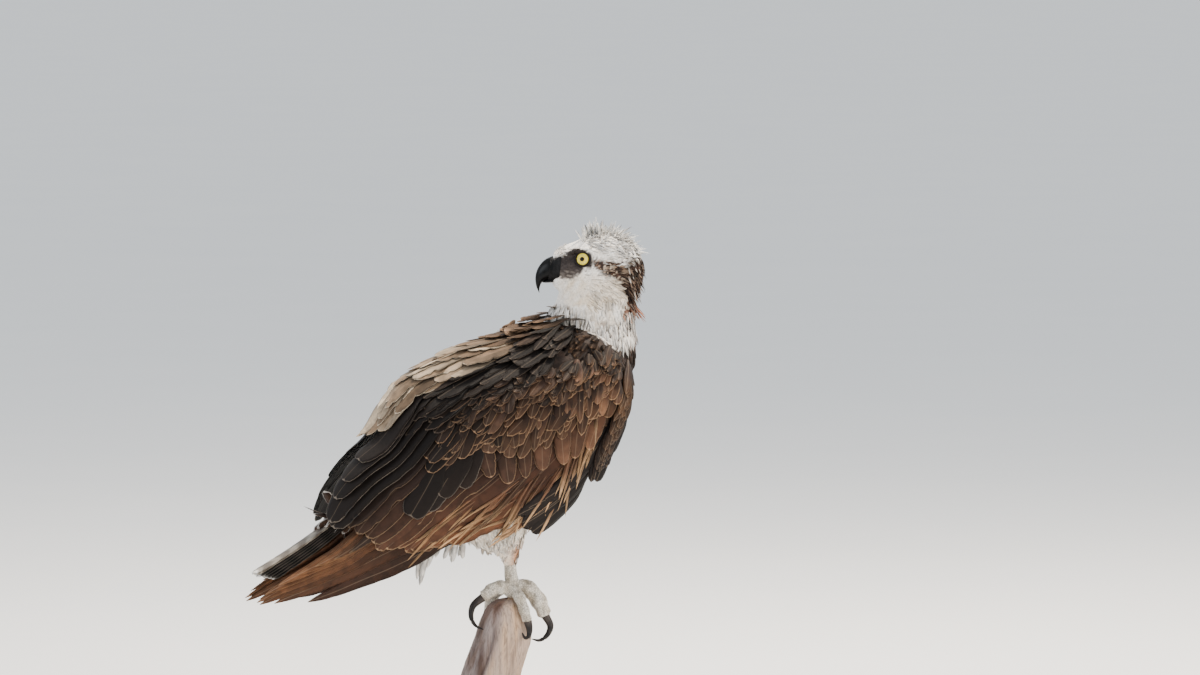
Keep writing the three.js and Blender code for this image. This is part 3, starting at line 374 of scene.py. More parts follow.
def wire(tree, node, links):
    """Gives each socket of a node its value, or the socket or the node that feeds it.

    A node stands for its first output in use."""
    for key, value in links.items():
        socket = node.inputs[key]
        if isinstance(value, bpy.types.Node):
            value = next(output for output in value.outputs if output.enabled)
        if isinstance(value, bpy.types.NodeSocket):
            tree.links.new(value, socket)
        elif isinstance(value, (np.ndarray, list)) and len(value) == 3:
            socket.default_value = (*value, 1.0) if socket.type == "RGBA" else tuple(value)
        else:
            socket.default_value = value


def add(tree, kind, links=(), stops=(), **settings):
    """Adds a node with its settings and links; stops are a ramp's places and heights."""
    made = tree.nodes.new("ShaderNode" + kind)
    for key, value in settings.items():
        setattr(made, key, value)
    if stops:
        made.color_ramp.interpolation = "EASE"
        for element, (place, height) in zip(made.color_ramp.elements, stops):
            element.position = place
            element.color = (height, height, height, 1)
    wire(tree, made, dict(links))
    return made


def finish(name, values):
    """A new material with its shader's values.

    Returns it with its tree, its shader and the place on the object, in metres."""
    material = bpy.data.materials.new(name)
    material.use_nodes = True
    tree = material.node_tree
    shader = tree.nodes["Principled BSDF"]
    wire(tree, shader, values)
    return material, tree, shader, add(tree, "TexCoord").outputs["Object"]


def mottled(tree, colour, marks, stops, tint, strength):
    """A colour with some of a tint in it where a pattern has its marks."""
    stained = add(tree, "Mix", {0: strength, 6: colour, 7: linear(tint)}, data_type="RGBA")
    share = add(tree, "ValToRGB", {0: marks}, stops=stops)
    return add(tree, "Mix", {0: share, 6: colour, 7: stained}, data_type="RGBA")


def feather_finish(name, barb_mm, fringe_mm, tip_mm, shaft, roughness):
    """Keratin barbs on a shaft: matt with a soft sheen, and fine slanting lines.

    Real barbs lie 0.3 to 0.5 mm apart, which is too fine to show, so they are drawn coarser."""
    material, tree, shader, here = finish(name, {
        "Roughness": roughness, "IOR": 1.54, "Specular IOR Level": 0.1, "Sheen Weight": 0.02})
    pigment = add(tree, "Attribute", attribute_name="Pigment")
    edge = add(tree, "Attribute", attribute_name="Fringe")
    place = add(tree, "Attribute", attribute_name="Place")
    across, down, width = add(tree, "SeparateColor", {0: place}).outputs
    beside, behind, _ = add(tree, "SeparateXYZ", {0: add(tree, "UVMap", uv_map="Barbs")}).outputs

    swept = add(tree, "Math", {0: beside, 1: -0.9, 2: behind}, operation="MULTIPLY_ADD")
    phase = add(tree, "Math", {0: swept, 1: BARB_MAP / barb_mm * 2 * math.pi},
                operation="MULTIPLY")
    lines = add(tree, "Math", {0: phase}, operation="SINE")
    wear = add(tree, "TexNoise", {"Vector": here, "Scale": every(1.923), "Detail": 3.0})
    patches = add(tree, "TexNoise", {"Vector": here, "Scale": every(11.11), "Detail": 4.0})

    # Millimetres to the nearer side and to the tip, in widths of the pale edge, worn ragged
    inward = add(tree, "Math", {0: 1.0, 1: across}, operation="SUBTRACT")
    inward = add(tree, "Math", {0: inward, 1: width}, operation="MULTIPLY")
    inward = add(tree, "Math", {0: inward, 1: WIDEST / fringe_mm}, operation="MULTIPLY")
    tip = add(tree, "Math", {0: behind, 1: BARB_MAP / tip_mm}, operation="MULTIPLY")
    near = add(tree, "Math", {0: inward, 1: tip}, operation="MINIMUM")
    ragged = add(tree, "Math", {0: wear, 1: 1.2, 2: -0.6}, operation="MULTIPLY_ADD")
    near = add(tree, "Math", {0: near, 1: ragged}, operation="ADD")
    border = add(tree, "ValToRGB", {0: near}, stops=((0.45, 1), (1.0, 0)))
    border = add(tree, "Math", {0: border, 1: edge.outputs["Alpha"]}, operation="MULTIPLY")
    outer = add(tree, "ValToRGB", {0: down}, stops=((0.2, 0), (0.65, 1)))
    border = add(tree, "Math", {0: border, 1: outer}, operation="MULTIPLY")

    body = mottled(tree, pigment, patches, ((0.36, 1), (0.62, 0)), "#120c09", 0.4)
    lined = add(tree, "Math", {0: lines, 1: 0.1, 2: 0.9}, operation="MULTIPLY_ADD")
    body = add(tree, "Mix", {0: 1.0, 6: body, 7: lined}, data_type="RGBA", blend_type="MULTIPLY")
    body = add(tree, "Mix", {0: border, 6: body, 7: edge}, data_type="RGBA")
    middle = add(tree, "Math", {0: across, 1: width}, operation="MULTIPLY")
    middle = add(tree, "ValToRGB", {0: middle}, stops=((0.0, shaft), (0.7 / WIDEST, 0)))
    quill = add(tree, "Mix", {0: 0.5, 6: pigment, 7: linear("#a8937c")}, data_type="RGBA")
    body = add(tree, "Mix", {0: middle, 6: body, 7: quill}, data_type="RGBA")
    relief = add(tree, "Bump", {"Height": lines, "Distance": 0.15 * MM, "Strength": 0.6})
    wire(tree, shader, {"Base Color": body, "Normal": relief})
    return material


def skin_finish():
    """Bird skin under the coat: matt, painted with the markings of the coat over it, and with
    painted shade of the coat in soft dark patches.
    """
    material, tree, shader, here = finish("Skin_Under_Coat", {"Roughness": 0.8, "IOR": 1.4})
    pigment = add(tree, "Attribute", attribute_name="Pigment")
    down = add(tree, "TexNoise", {"Vector": here, "Scale": every(2), "Detail": 3.0})
    # Painted shade: soft noise patches darken the skin toward dark brown, as the shadow of the coat
    # lying over it.
    colour = mottled(tree, pigment, down, ((0.35, 0), (0.65, 1)), "#3a2e28", 0.25)
    relief = add(tree, "Bump", {"Height": down, "Distance": 0.8 * MM, "Strength": 1.0})
    wire(tree, shader, {"Base Color": colour, "Normal": relief})
    return material


def bill_finish():
    """Polished black horn: a hard smooth sheath with faint growth lines."""
    material, tree, shader, here = finish("Horn_Bill_Polished", {
        "Roughness": 0.3, "IOR": 1.55, "Specular IOR Level": 0.12})
    grain = add(tree, "TexNoise", {"Vector": here, "Scale": every(6.25), "Detail": 5.0})
    share = add(tree, "ValToRGB", {0: grain}, stops=((0.35, 0), (0.7, 1)))
    colour = add(tree, "Mix", {0: share, 6: linear("#030303"), 7: linear("#0b0b0d")},
                 data_type="RGBA")
    rough = add(tree, "Math", {0: grain, 1: 0.2, 2: 0.2}, operation="MULTIPLY_ADD")
    relief = add(tree, "Bump", {"Height": grain, "Distance": 0.12 * MM, "Strength": 1.0})
    wire(tree, shader, {"Base Color": colour, "Roughness": rough, "Normal": relief})
    return material


def cere_finish():
    """Bare waxy skin of the cere and lids: soft, finely wrinkled, nearly black."""
    material, tree, shader, here = finish("Bare_Skin_Cere", {
        "Roughness": 0.5, "IOR": 1.42, "Specular IOR Level": 0.2})
    pigment = add(tree, "Attribute", attribute_name="Pigment")
    folds = add(tree, "TexVoronoi", {"Vector": here, "Scale": every(1.111)},
                feature="DISTANCE_TO_EDGE")
    stains = add(tree, "TexNoise", {"Vector": here, "Scale": every(3.333), "Detail": 4.0})
    colour = mottled(tree, pigment, stains, ((0.35, 0), (0.7, 1)), "#141213", 0.5)
    raised = add(tree, "ValToRGB", {0: folds}, stops=((0.0, 0), (0.25, 1)))
    relief = add(tree, "Bump", {"Height": raised, "Distance": 0.25 * MM, "Strength": 1.0})
    wire(tree, shader, {"Base Color": colour, "Normal": relief})
    return material


def eye_finish():
    """A wet eye: black pupil, yellow iris with fine rays, dark rim, clear coat of tears."""
    material, tree, shader, here = finish("Eye_Wet", {
        "Roughness": 0.25, "IOR": 1.376, "Specular IOR Level": 0.05, "Coat Weight": 0.3,
        "Coat Roughness": 0.02})
    x, y, _ = add(tree, "SeparateXYZ", {0: here}).outputs
    flat = add(tree, "CombineXYZ", {0: x, 1: y})
    reach = add(tree, "VectorMath", {0: flat}, operation="LENGTH")
    share = add(tree, "Math", {0: reach, 1: IRIS_RADIUS * MM}, operation="DIVIDE")
    angle = add(tree, "Math", {0: y, 1: x}, operation="ARCTAN2")
    rays_at = add(tree, "CombineXYZ", {0: angle, 1: share})
    rays = add(tree, "TexNoise", {"Vector": rays_at, "Scale": 9.0, "Detail": 4.0})
    streaks = add(tree, "ValToRGB", {0: rays}, stops=((0.3, 0), (0.7, 1)))
    iris = add(tree, "Mix", {0: streaks, 6: linear("#c7b02c"), 7: linear("#e9dc68")},
               data_type="RGBA")
    edge = PUPIL_RADIUS / IRIS_RADIUS
    ring = add(tree, "ValToRGB", {0: share}, stops=((edge, 1), (edge + 0.2, 0)))
    warm = add(tree, "Math", {0: ring, 1: 0.45}, operation="MULTIPLY")
    iris = add(tree, "Mix", {0: warm, 6: iris, 7: linear("#b98a1c")}, data_type="RGBA")
    inside = add(tree, "ValToRGB", {0: share}, stops=((edge - 0.03, 0), (edge + 0.01, 1)))
    colour = add(tree, "Mix", {0: inside, 6: linear("#050505"), 7: iris}, data_type="RGBA")
    rim = add(tree, "ValToRGB", {0: share}, stops=((0.88, 0), (0.98, 1)))
    colour = add(tree, "Mix", {0: rim, 6: colour, 7: linear("#171008")}, data_type="RGBA")
    wire(tree, shader, {"Base Color": colour})
    return material


def foot_finish():
    """Scaled skin of the feet: dry, pale grey, with small round scales 2 mm across."""
    material, tree, shader, here = finish("Scaled_Skin_Foot", {"Roughness": 0.55, "IOR": 1.45})
    pigment = add(tree, "Attribute", attribute_name="Pigment")
    scales = add(tree, "TexVoronoi", {"Vector": here, "Scale": every(2.2)},
                 feature="DISTANCE_TO_EDGE")
    plate = add(tree, "ValToRGB", {0: scales}, stops=((0.0, 0), (0.16, 1)))
    dirt = add(tree, "TexNoise", {"Vector": here, "Scale": every(5.556), "Detail": 4.0})
    colour = mottled(tree, pigment, dirt, ((0.4, 0), (0.72, 1)), "#6b6256", 0.45)
    # Painted shade: the grooves between the scales are darkened toward dark grey-brown.
    groove_shade = add(tree, "Mix", {0: 0.6, 6: colour, 7: linear("#3d372f")}, data_type="RGBA")
    colour = add(tree, "Mix", {0: plate, 6: groove_shade, 7: colour}, data_type="RGBA")
    relief = add(tree, "Bump", {"Height": plate, "Distance": 0.35 * MM, "Strength": 0.8})
    wire(tree, shader, {"Base Color": colour, "Normal": relief})
    return material


def claw_finish():
    """Black horn of the claws: smooth, with faint lines along it and a worn grey base."""
    material, tree, shader, here = finish("Horn_Claw", {
        "Roughness": 0.34, "IOR": 1.55, "Specular IOR Level": 0.18})
    pigment = add(tree, "Attribute", attribute_name="Pigment")
    lines = add(tree, "TexNoise", {"Vector": here, "Scale": every(3.846), "Detail": 5.0})
    colour = mottled(tree, pigment, lines, ((0.4, 0), (0.75, 1)), "#5a4f48", 0.2)
    relief = add(tree, "Bump", {"Height": lines, "Distance": 0.15 * MM, "Strength": 1.0})
    wire(tree, shader, {"Base Color": colour, "Normal": relief})
    return material


def driftwood_finish():
    """Sun-bleached stake: silver-grey and brown long fibres, split and dry, no varnish.

    Real fibres are about 0.5 mm wide, too fine to show, so they are drawn 1.6 mm apart."""
    material, tree, shader, here = finish("Driftwood_Weathered", {"Roughness": 0.88, "IOR": 1.5})
    pigment = add(tree, "Attribute", attribute_name="Pigment")
    lean = [0.0, 0.26, 0.0]
    fibre_at = add(tree, "Mapping", {
        "Vector": here, "Scale": [every(1.6), every(1.6), every(80)], "Rotation": lean})
    fibres = add(tree, "TexNoise", {
        "Vector": fibre_at, "Scale": 1.0, "Detail": 6.0, "Roughness": 0.6})
    broad_at = add(tree, "Mapping", {
        "Vector": here, "Scale": [every(14), every(14), every(90)], "Rotation": lean})
    broad = add(tree, "TexNoise", {"Vector": broad_at, "Scale": 1.0, "Detail": 3.0})
    colour = mottled(tree, pigment, broad, ((0.38, 0), (0.62, 1)), "#9a8f8c", 0.55)
    dark = add(tree, "ValToRGB", {0: fibres}, stops=((0.34, 1), (0.56, 0)))
    dark = add(tree, "Math", {0: dark, 1: 0.5}, operation="MULTIPLY")
    colour = add(tree, "Mix", {0: dark, 6: colour, 7: linear("#3d2c24")}, data_type="RGBA")
    relief = add(tree, "Bump", {"Height": fibres, "Distance": 0.9 * MM, "Strength": 1.0})
    wire(tree, shader, {"Base Color": colour, "Normal": relief})
    return material


def base_finish():
    """Turned walnut with satin oil: long figure and dark pores under a thin soft gloss.

    Real pores are 0.2 mm wide, too fine to show, so they are drawn 0.9 mm apart."""
    material, tree, shader, here = finish("Walnut_Turned_Oiled", {
        "Roughness": 0.42, "IOR": 1.5, "Coat Weight": 0.25, "Coat Roughness": 0.25})
    grain_at = add(tree, "Mapping", {"Vector": here, "Scale": [every(9), every(120), every(9)]})
    grain = add(tree, "TexNoise", {
        "Vector": grain_at, "Scale": 1.0, "Detail": 6.0, "Distortion": 0.6})
    pore_at = add(tree, "Mapping", {"Vector": here, "Scale": [every(0.9), every(14), every(0.9)]})
    pores = add(tree, "TexNoise", {"Vector": pore_at, "Scale": 1.0, "Detail": 2.0})
    figure = add(tree, "ValToRGB", {0: grain}, stops=((0.36, 0), (0.64, 1)))
    colour = add(tree, "Mix", {0: figure, 6: linear("#3c281c"), 7: linear("#6f4c34")},
                 data_type="RGBA")
    dots = add(tree, "ValToRGB", {0: pores}, stops=((0.36, 0.5), (0.48, 0)))
    colour = add(tree, "Mix", {0: dots, 6: colour, 7: linear("#21150f")}, data_type="RGBA")
    relief = add(tree, "Bump", {"Height": pores, "Distance": 0.1 * MM, "Strength": 1.0})
    wire(tree, shader, {"Base Color": colour, "Normal": relief})
    return material


def rod_finish():
    """Blackened steel rod: drawn and brushed, so its gloss is dull and uneven."""
    material, tree, shader, here = finish("Steel_Blackened", {"Roughness": 0.38, "Metallic": 1.0})
    brushed_at = add(tree, "Mapping", {
        "Vector": here, "Scale": [every(1), every(1), every(33.33)]})
    brushed = add(tree, "TexNoise", {"Vector": brushed_at, "Scale": 1.0, "Detail": 3.0})
    colour = add(tree, "Mix", {0: brushed, 6: linear("#2c2c2e"), 7: linear("#55565a")},
                 data_type="RGBA")
    rough = add(tree, "Math", {0: brushed, 1: 0.3, 2: 0.25}, operation="MULTIPLY_ADD")
    wire(tree, shader, {"Base Color": colour, "Roughness": rough})
    return material


def floor_finish():
    """Plain matt paper on the studio floor."""
    material, tree, shader, here = finish("Studio_Paper", {"Roughness": 0.9})
    tint = add(tree, "TexNoise", {"Vector": here, "Scale": every(333.3), "Detail": 2.0})
    colour = add(tree, "Mix", {0: tint, 6: linear("#f0f1f1"), 7: linear("#f5f5f4")},
                 data_type="RGBA")
    wire(tree, shader, {"Base Color": colour})
    return material


# Skin: the flesh lofts of the solids drawn in by the depth of the coat, made one surface
def torso_skin(grow):
    """The trunk, in the body's own frame."""
    rings = []
    for u in np.linspace(TORSO_FORM[0][0], TORSO_FORM[-1][0], 36):
        middle, depth, half = along(TORSO_FORM, u)
        v, w = oval(40, max(half + grow, 3), max(depth + grow, 3), 2.2)
        rings.append(body_point(u, v, middle + w))
    return tube(rings)


def upright_skin(form, grow):
    """A form whose sections lie level: the neck and the right thigh."""
    rings = []
    for z in np.linspace(form[0][0], form[-1][0], 30):
        x, y, a, b = along(form, z)
        dx, dy = oval(40, max(a + grow, 3), max(b + grow, 3))
        rings.append(level_ring(x, y, dx, dy, z))
    return tube(rings)


def head_skin(grow):
    """The head, slimmer at the lores, with a thinner coat toward the bill."""
    rings = []
    for x in np.linspace(HEAD_FORM[0][0], HEAD_FORM[-1][0], 44):
        top, bottom, half, square = along(HEAD_FORM, x)
        keep = grow * (1 - 0.75 * ease((x - 18) / 16))
        y, z = oval(44, half + keep, (top - bottom) / 2 + keep, square)
        slim = 1 - 0.16 * ease((x - 14) / 12) * ease(-z / 8)
        rings.append(head_point(x, y * slim, (top + bottom) / 2 + z))
    return tube(rings)


def wing_skin(side):
    """The arm of the folded wing, under its feathers."""
    return wing_slab(side, 0.01, 0.94, -66, lambda q: 119 + 31 * ease((q - 0.2) / 0.45),
                     (-13, -6), -24)


def hand_skin(side):
    """The hand of the folded wing, along its lower edge."""
    return wing_slab(side, 0.8, 1.0, -18, lambda q: np.full_like(q, 150), (-12, -6), -19)


def wing_slab(side, ridge, edge, back, front, outer, inner):
    """A closed slab of the folded wing, thin at its rim.

    Ridge and edge are q at its two long sides, back and front are u at its two ends, outer
    is its lift at the rim and in the middle, and inner is the lift of its underside."""
    across, down = 30, 24
    j, i = np.meshgrid(np.linspace(0, 1, down), np.linspace(0, 1, across), indexing="ij")
    q = ridge + (edge - ridge) * j
    u = back + (front(q) - back) * i
    rim = ease(np.minimum(i, 1 - i) / 0.1) * ease(np.minimum(j, 1 - j) / 0.1)
    over = wing_point(side, u, q, outer[0] + (outer[1] - outer[0]) * rim)
    under = wing_point(side, u, q, np.full_like(q, inner))
    count = across * down
    at = np.arange(count).reshape(down, across)
    top = np.stack([at[:-1, :-1], at[:-1, 1:], at[1:, 1:], at[1:, :-1]], -1).reshape(-1, 4)
    border = np.concatenate([at[0, :-1], at[:-1, -1], at[-1, :0:-1], at[:0:-1, 0]])
    after = np.roll(border, -1)
    wall = np.stack([border, border + count, after + count, after], -1)
    points = np.vstack([over.reshape(-1, 3), under.reshape(-1, 3)])
    faces = [top, top[:, ::-1] + count, wall]
    if side < 0:
        faces = [f[:, ::-1] for f in faces]
    return points, faces


def tail_skin():
    """The root of the tail, under its coverts."""
    rings = []
    for t in np.linspace(0, 1, 16):
        v, w = oval(30, 25 - 13 * t, 19 - 15 * t)
        rings.append(body_point(-96 - 86 * t, v, 23 + 4 * t + w))
    return tube(rings)


def eye_axis(side):
    """Centre and outward axis of one eye; side is 1 for the bird's left."""
    x, y, z = EYE_PLACE
    centre = head_point(x, side * y, z)
    axis = side * math.cos(EYE_FORWARD) * HEAD_Y + math.sin(EYE_FORWARD) * HEAD_X
    return centre, unit(axis + 0.03 * UP)


def brow_skin(side):
    """The ridge of bone over one eye."""
    path = [[30, 14, 7], [21, 21.5, 10.4], [9, 24.8, 11], [-4, 25, 7.5]]
    points = [head_point(x, side * y, z) for x, y, z in path]
    return limb(points, lambda t: 0.8 + 2.1 * np.sin(math.pi * (0.12 + 0.78 * t)), 12, 20, UP)


def make_skin():
    """All the flesh forms made one smooth surface."""
    left_path = [body_point(u, v, w) for u, v, w, r in LEFT_THIGH_PATH]
    left_radius = [[r - THIGH_COAT] for u, v, w, r in LEFT_THIGH_PATH]
    parts = [
        torso_skin(-COAT_DEPTH),
        upright_skin(NECK_FORM, -COAT_DEPTH + 1),
        head_skin(-HEAD_COAT),
        upright_skin(RIGHT_THIGH_FORM, -THIGH_COAT),
        limb(left_path, lambda t: between(left_radius, t)[:, 0], 30, 30, RIGHT),
        wing_skin(1),
        wing_skin(-1),
        hand_skin(1),
        hand_skin(-1),
        tail_skin(),
        brow_skin(1),
        brow_skin(-1),
    ]
    points, faces = joined(parts)
    rough = make_piece("skin_rough", points, faces, None, None)
    blend = rough.modifiers.new("one_surface", "REMESH")
    blend.mode = "VOXEL"
    blend.voxel_size = SKIN_VOXEL * MM
    settle = rough.modifiers.new("settle", "SMOOTH")
    settle.iterations = 5
    settle.factor = 0.5
    bpy.context.view_layer.update()
    graph = bpy.context.evaluated_depsgraph_get()
    mesh = bpy.data.meshes.new_from_object(rough.evaluated_get(graph))
    bpy.data.objects.remove(rough)
    mesh.name = "skin"
    piece = bpy.data.objects.new("skin", mesh)
    bpy.context.scene.collection.objects.link(piece)
    mesh.polygons.foreach_set("use_smooth", np.ones(len(mesh.polygons), bool))
    return piece


def surface_of(piece):
    """Corner points in millimetres and unit normals of a piece's triangles."""
    mesh = piece.data
    mesh.calc_loop_triangles()
    points = np.empty(len(mesh.vertices) * 3)
    mesh.vertices.foreach_get("co", points)
    points = points.reshape(-1, 3) / MM
    corners = np.empty(len(mesh.loop_triangles) * 3, np.int32)
    mesh.loop_triangles.foreach_get("vertices", corners)
    corners = corners.reshape(-1, 3)
    normals = np.empty(len(mesh.vertices) * 3)
    mesh.vertex_normals.foreach_get("vector", normals)
    return points, corners, normals.reshape(-1, 3)


# Places on the body
TORSO, NECK, HEAD, RIGHT_THIGH, LEFT_THIGH, WING, TAIL = range(7)


def in_body(points):
    """How far points lie forward, right and toward the back of the body's middle."""
    offset = points - BODY_ORIGIN
    return offset @ FORWARD, offset @ RIGHT, offset @ DORSAL


def in_head(points):
    """How far points lie toward the bill, to the bird's left and up from the head's middle."""
    offset = points - HEAD_CENTRE
    return offset @ HEAD_X, offset @ HEAD_Y, offset @ UP


def near_loft(form, points, most):
    """Which points lie within a share of an upright loft's own radius."""
    x, y, a, b = np.moveaxis(along(form, points[:, 2]), -1, 0)
    return ((points[:, 0] - x) / a) ** 2 + ((points[:, 1] - y) / b) ** 2 < most


def part_of(points):
    """The place on the body that each point belongs to."""
    u, v, w = in_body(points)
    hx, _, hz = in_head(points)
    height = points[:, 2]
    part = np.full(len(points), TORSO)
    middle, depth, half = np.moveaxis(along(TORSO_FORM, u), -1, 0)
    inside = (np.abs(v) / half) ** 2 + (np.abs(w - middle) / depth) ** 2
    part[(inside > 1.0) & (u > -80)] = WING
    part[near_loft(NECK_FORM, points, 1.06) & (height > 356)] = NECK
    part[(hz > -37) | ((hz > -46) & (hx > -6))] = HEAD
    near_right = near_loft(RIGHT_THIGH_FORM, points, 1.05)
    part[near_right & (height < 285) & (inside > 0.98)] = RIGHT_THIGH
    path = smooth_path([body_point(*row[:3]) for row in LEFT_THIGH_PATH], 20)
    reach = np.linalg.norm(points[:, None] - path[None], axis=2)
    radii = between([row[3:] for row in LEFT_THIGH_PATH], np.linspace(0, 1, 20))[:, 0]
    near_left = (reach < radii + 0.5).any(1)
    part[near_left & (inside > 0.98) & (height < 300)] = LEFT_THIGH
    part[u < -100] = TAIL
    return part


# Markings, the same for skin and coat
def speckle(points, scale, seed=0):
    """Soft random values from 0 to 1 that vary over a distance in millimetres."""
    total = np.zeros(len(points))
    turns = np.random.default_rng(seed)
    for _ in range(5):
        way = unit(turns.normal(size=3))
        total += np.sin(points @ way * 2 * math.pi / (scale * turns.uniform(0.7, 1.5))
                        + turns.uniform(0, 6.28))
    return 0.5 + 0.5 * np.clip(total / 2.6, -1, 1)


def blended(first, second, share):
    """The first value with a share of the second in its place."""
    return first * (1 - share) + second * share


WHITE = shade("#f8f5f0", "#ebe3d9")
CREAM = shade("#ecdcc4", "#d6bb98")
# Edges of the dark stripe behind the eye and of the dark lores, as x and z on the head
MASK_TOP = [[-50, 7], [-44, 6], [-36, 1.5], [-30, -3], [-24, -5], [-9.7, -1], [-2, 1.5],
            [5, 3]]
MASK_LOW = [[-50, -56], [-38, -46], [-30, -37], [-24, -27], [-9.7, -14.5], [1.8, -8.5],
            [6, -4]]
# The lores' top edge runs over the eye, where their near-black also stands for painted shade under
# the brow.
LORE_TOP = [[2, 4], [7, 9], [12.5, 11], [20, 12.8], [26, 11.6], [32, 6], [39, 2.6], [45, 1]]
LORE_LOW = [[2, -4], [6, -7.6], [12.5, -9.6], [20.5, -17], [28, -20], [34, -20], [39, -17.8],
            [45, -17]]
# Height of the lower edge of the white collar at each X
COLLAR = [[40, 446], [50, 441], [71, 425], [92, 411], [112, 403], [133, 401], [146, 412],
          [152, 418]]


def lore_share(points):
    """How far each point lies in the dark feathers round the front of the eye, whose top over the
    eye is also painted shade under the brow.
    """
    x, y, z = in_head(points)
    fray = speckle(points, 4, 21) - 0.5
    low = along(LORE_LOW, x)[:, 0] + 4 * fray
    top = along(LORE_TOP, x)[:, 0] + 3 * fray
    share = ease((z - low + 1.5) / 3.5) * ease((top - z + 1) / 2.5)
    return share * ease((x - 3.4) / 2.2) * ease((np.abs(y) - 4.5) / 3)


def head_marking(points):
    """White crown and throat, a dark stripe from the eye to the nape, dark grey lores with painted
    brow shade at their top.
    """
    x, y, z = in_head(points)
    noise = speckle(points, 9, 3)
    fine = speckle(points, 3.2, 4)
    tuft = speckle(points, 2.4, 22)
    throat = ease((-8 - z) / 16) * ease((42 - x) / 14) * (0.4 + 0.5 * noise)
    colour = blended(WHITE(0.75 * fine), CREAM(0.75 * fine), throat[:, None])
    low = along(MASK_LOW, x)[:, 0] + 5 * (noise - 0.5)
    top = along(MASK_TOP, x)[:, 0] + 4 * (fine - 0.5)
    mask = ease((z - low + 1.5) / 3) * ease((top - z + 1) / 2.5) * ease((6 - x) / 3)
    mask = mask * (np.abs(y) > 5)
    gaps = mask * ease((tuft - 0.64) / 0.08) * (0.8 - 0.5 * ease((-14 - x) / 12))
    nape = ease((-34 - x) / 6) * ease((6 - z) / 8) * ease((z + 60) / 6) * (noise + fine > 0.6)
    mask = np.maximum(mask, nape)
    colour = blended(colour, shade("#120a07", "#21120c", "#432a1f")(fine), mask[:, None])
    colour = blended(colour, shade("#b0896c", "#dccab4")(noise), gaps[:, None])
    # The lores are darkest at their top, over and before the eye: their own dark grey, and painted
    # shade under the brow.
    light = 0.1 + 0.55 * ease((-2 - z) / 16) * ease((x - 12) / 10) + 0.5 * (tuft - 0.5)
    grey = shade("#171110", "#3b3432", "#8a827a")(light)
    return blended(colour, grey, lore_share(points)[:, None])


def neck_marking(points):
    """White with thin brown streaks low down, over a breast of dark brown feathers."""
    height = points[:, 2]
    hx = in_head(points)[0]
    noise = speckle(points, 14, 5)
    fine = speckle(points * [1, 1, 0.35], 3.0, 6)
    warm = (0.15 + 0.45 * noise) * ease((height - 405) / 30)
    colour = blended(WHITE(0.8 * noise), CREAM(0.4 * fine), warm[:, None])
    edge = along(COLLAR, points[:, 0])[:, 0] + 14 * (noise - 0.5)
    near = ease((edge + 38 - height) / 26)
    streak = near * ease((fine - 0.66 + 0.25 * ease((edge + 18 - height) / 16)) / 0.06)
    nape = ease((-28 - hx) / 8) * ease((height - 430) / 8) * (fine > 0.4)
    below = ease((edge - height + 2) / 5) * ease((height - 340 - 14 * noise) / 12)
    share = np.clip(0.9 * streak + nape + below, 0, 1)[:, None]
    brown = shade("#1a100d", "#2c1d16", "#5c3a2d")(fine * (0.5 + 0.4 * (height > edge)))
    return blended(colour, brown, share)


def belly_marking(points):
    """White belly and flanks, cream to tan under the tail, a brown necklace on the breast."""
    u, _, w = in_body(points)
    noise = speckle(points, 20, 7)
    fine = speckle(points, 6, 8)
    colour = blended(CREAM(0.35 * noise), WHITE(noise), 0.5)
    band = ease((u - 106 - 14 * noise) / 16) * (0.35 + 0.65 * (fine > 0.35))
    above = ease((w - 14) / 8) * ease((-60 - u) / 20)
    share = np.maximum(band, above)[:, None]
    return blended(colour, shade("#221812", "#4f382a")(fine), share)


def thigh_colour_and_painted_glow(points):
    """Cream, with a painted orange-tan glow towards the front of the leg: sunlight through the
    feathers in the shade of the wing.
    """
    x, height = points[:, 0], points[:, 2]
    noise = speckle(points, 16, 9)
    front = ease((x - 16 - 0.1 * (height - 200)) / 12) * ease((215 - height) / 20)
    colour = blended(CREAM(0.6 * noise), WHITE(noise), 0.5)
    # Painted light: the orange-tan glow of sun through the feathers at the front of the leg.
    return blended(colour, linear("#a5662f"), 0.85 * front[:, None])


def wing_under_painted_shade(points):
    """Dark brown painted shade on the skin under the folded wing, so that gaps between its feathers
    look like shadow.
    """
    return shade("#1c1512", "#33261f")(speckle(points, 8, 10))


MARKINGS = {
    TORSO: belly_marking, NECK: neck_marking, HEAD: head_marking,
    RIGHT_THIGH: thigh_colour_and_painted_glow, LEFT_THIGH: thigh_colour_and_painted_glow, WING: wing_under_painted_shade,
    TAIL: belly_marking,
}


def marking(points, part):
    """The colour of each point, by the place on the body that it belongs to."""
    colour = np.zeros((len(points), 3))
    for number, colour_of in MARKINGS.items():
        chosen = part == number
        if chosen.any():
            colour[chosen] = colour_of(points[chosen])
    return colour


# Feathers
# Side of the patch that one feather has on the OFBake map, and the map's empty rim
PATCH = 0.003
MAP_RIM = 0.001


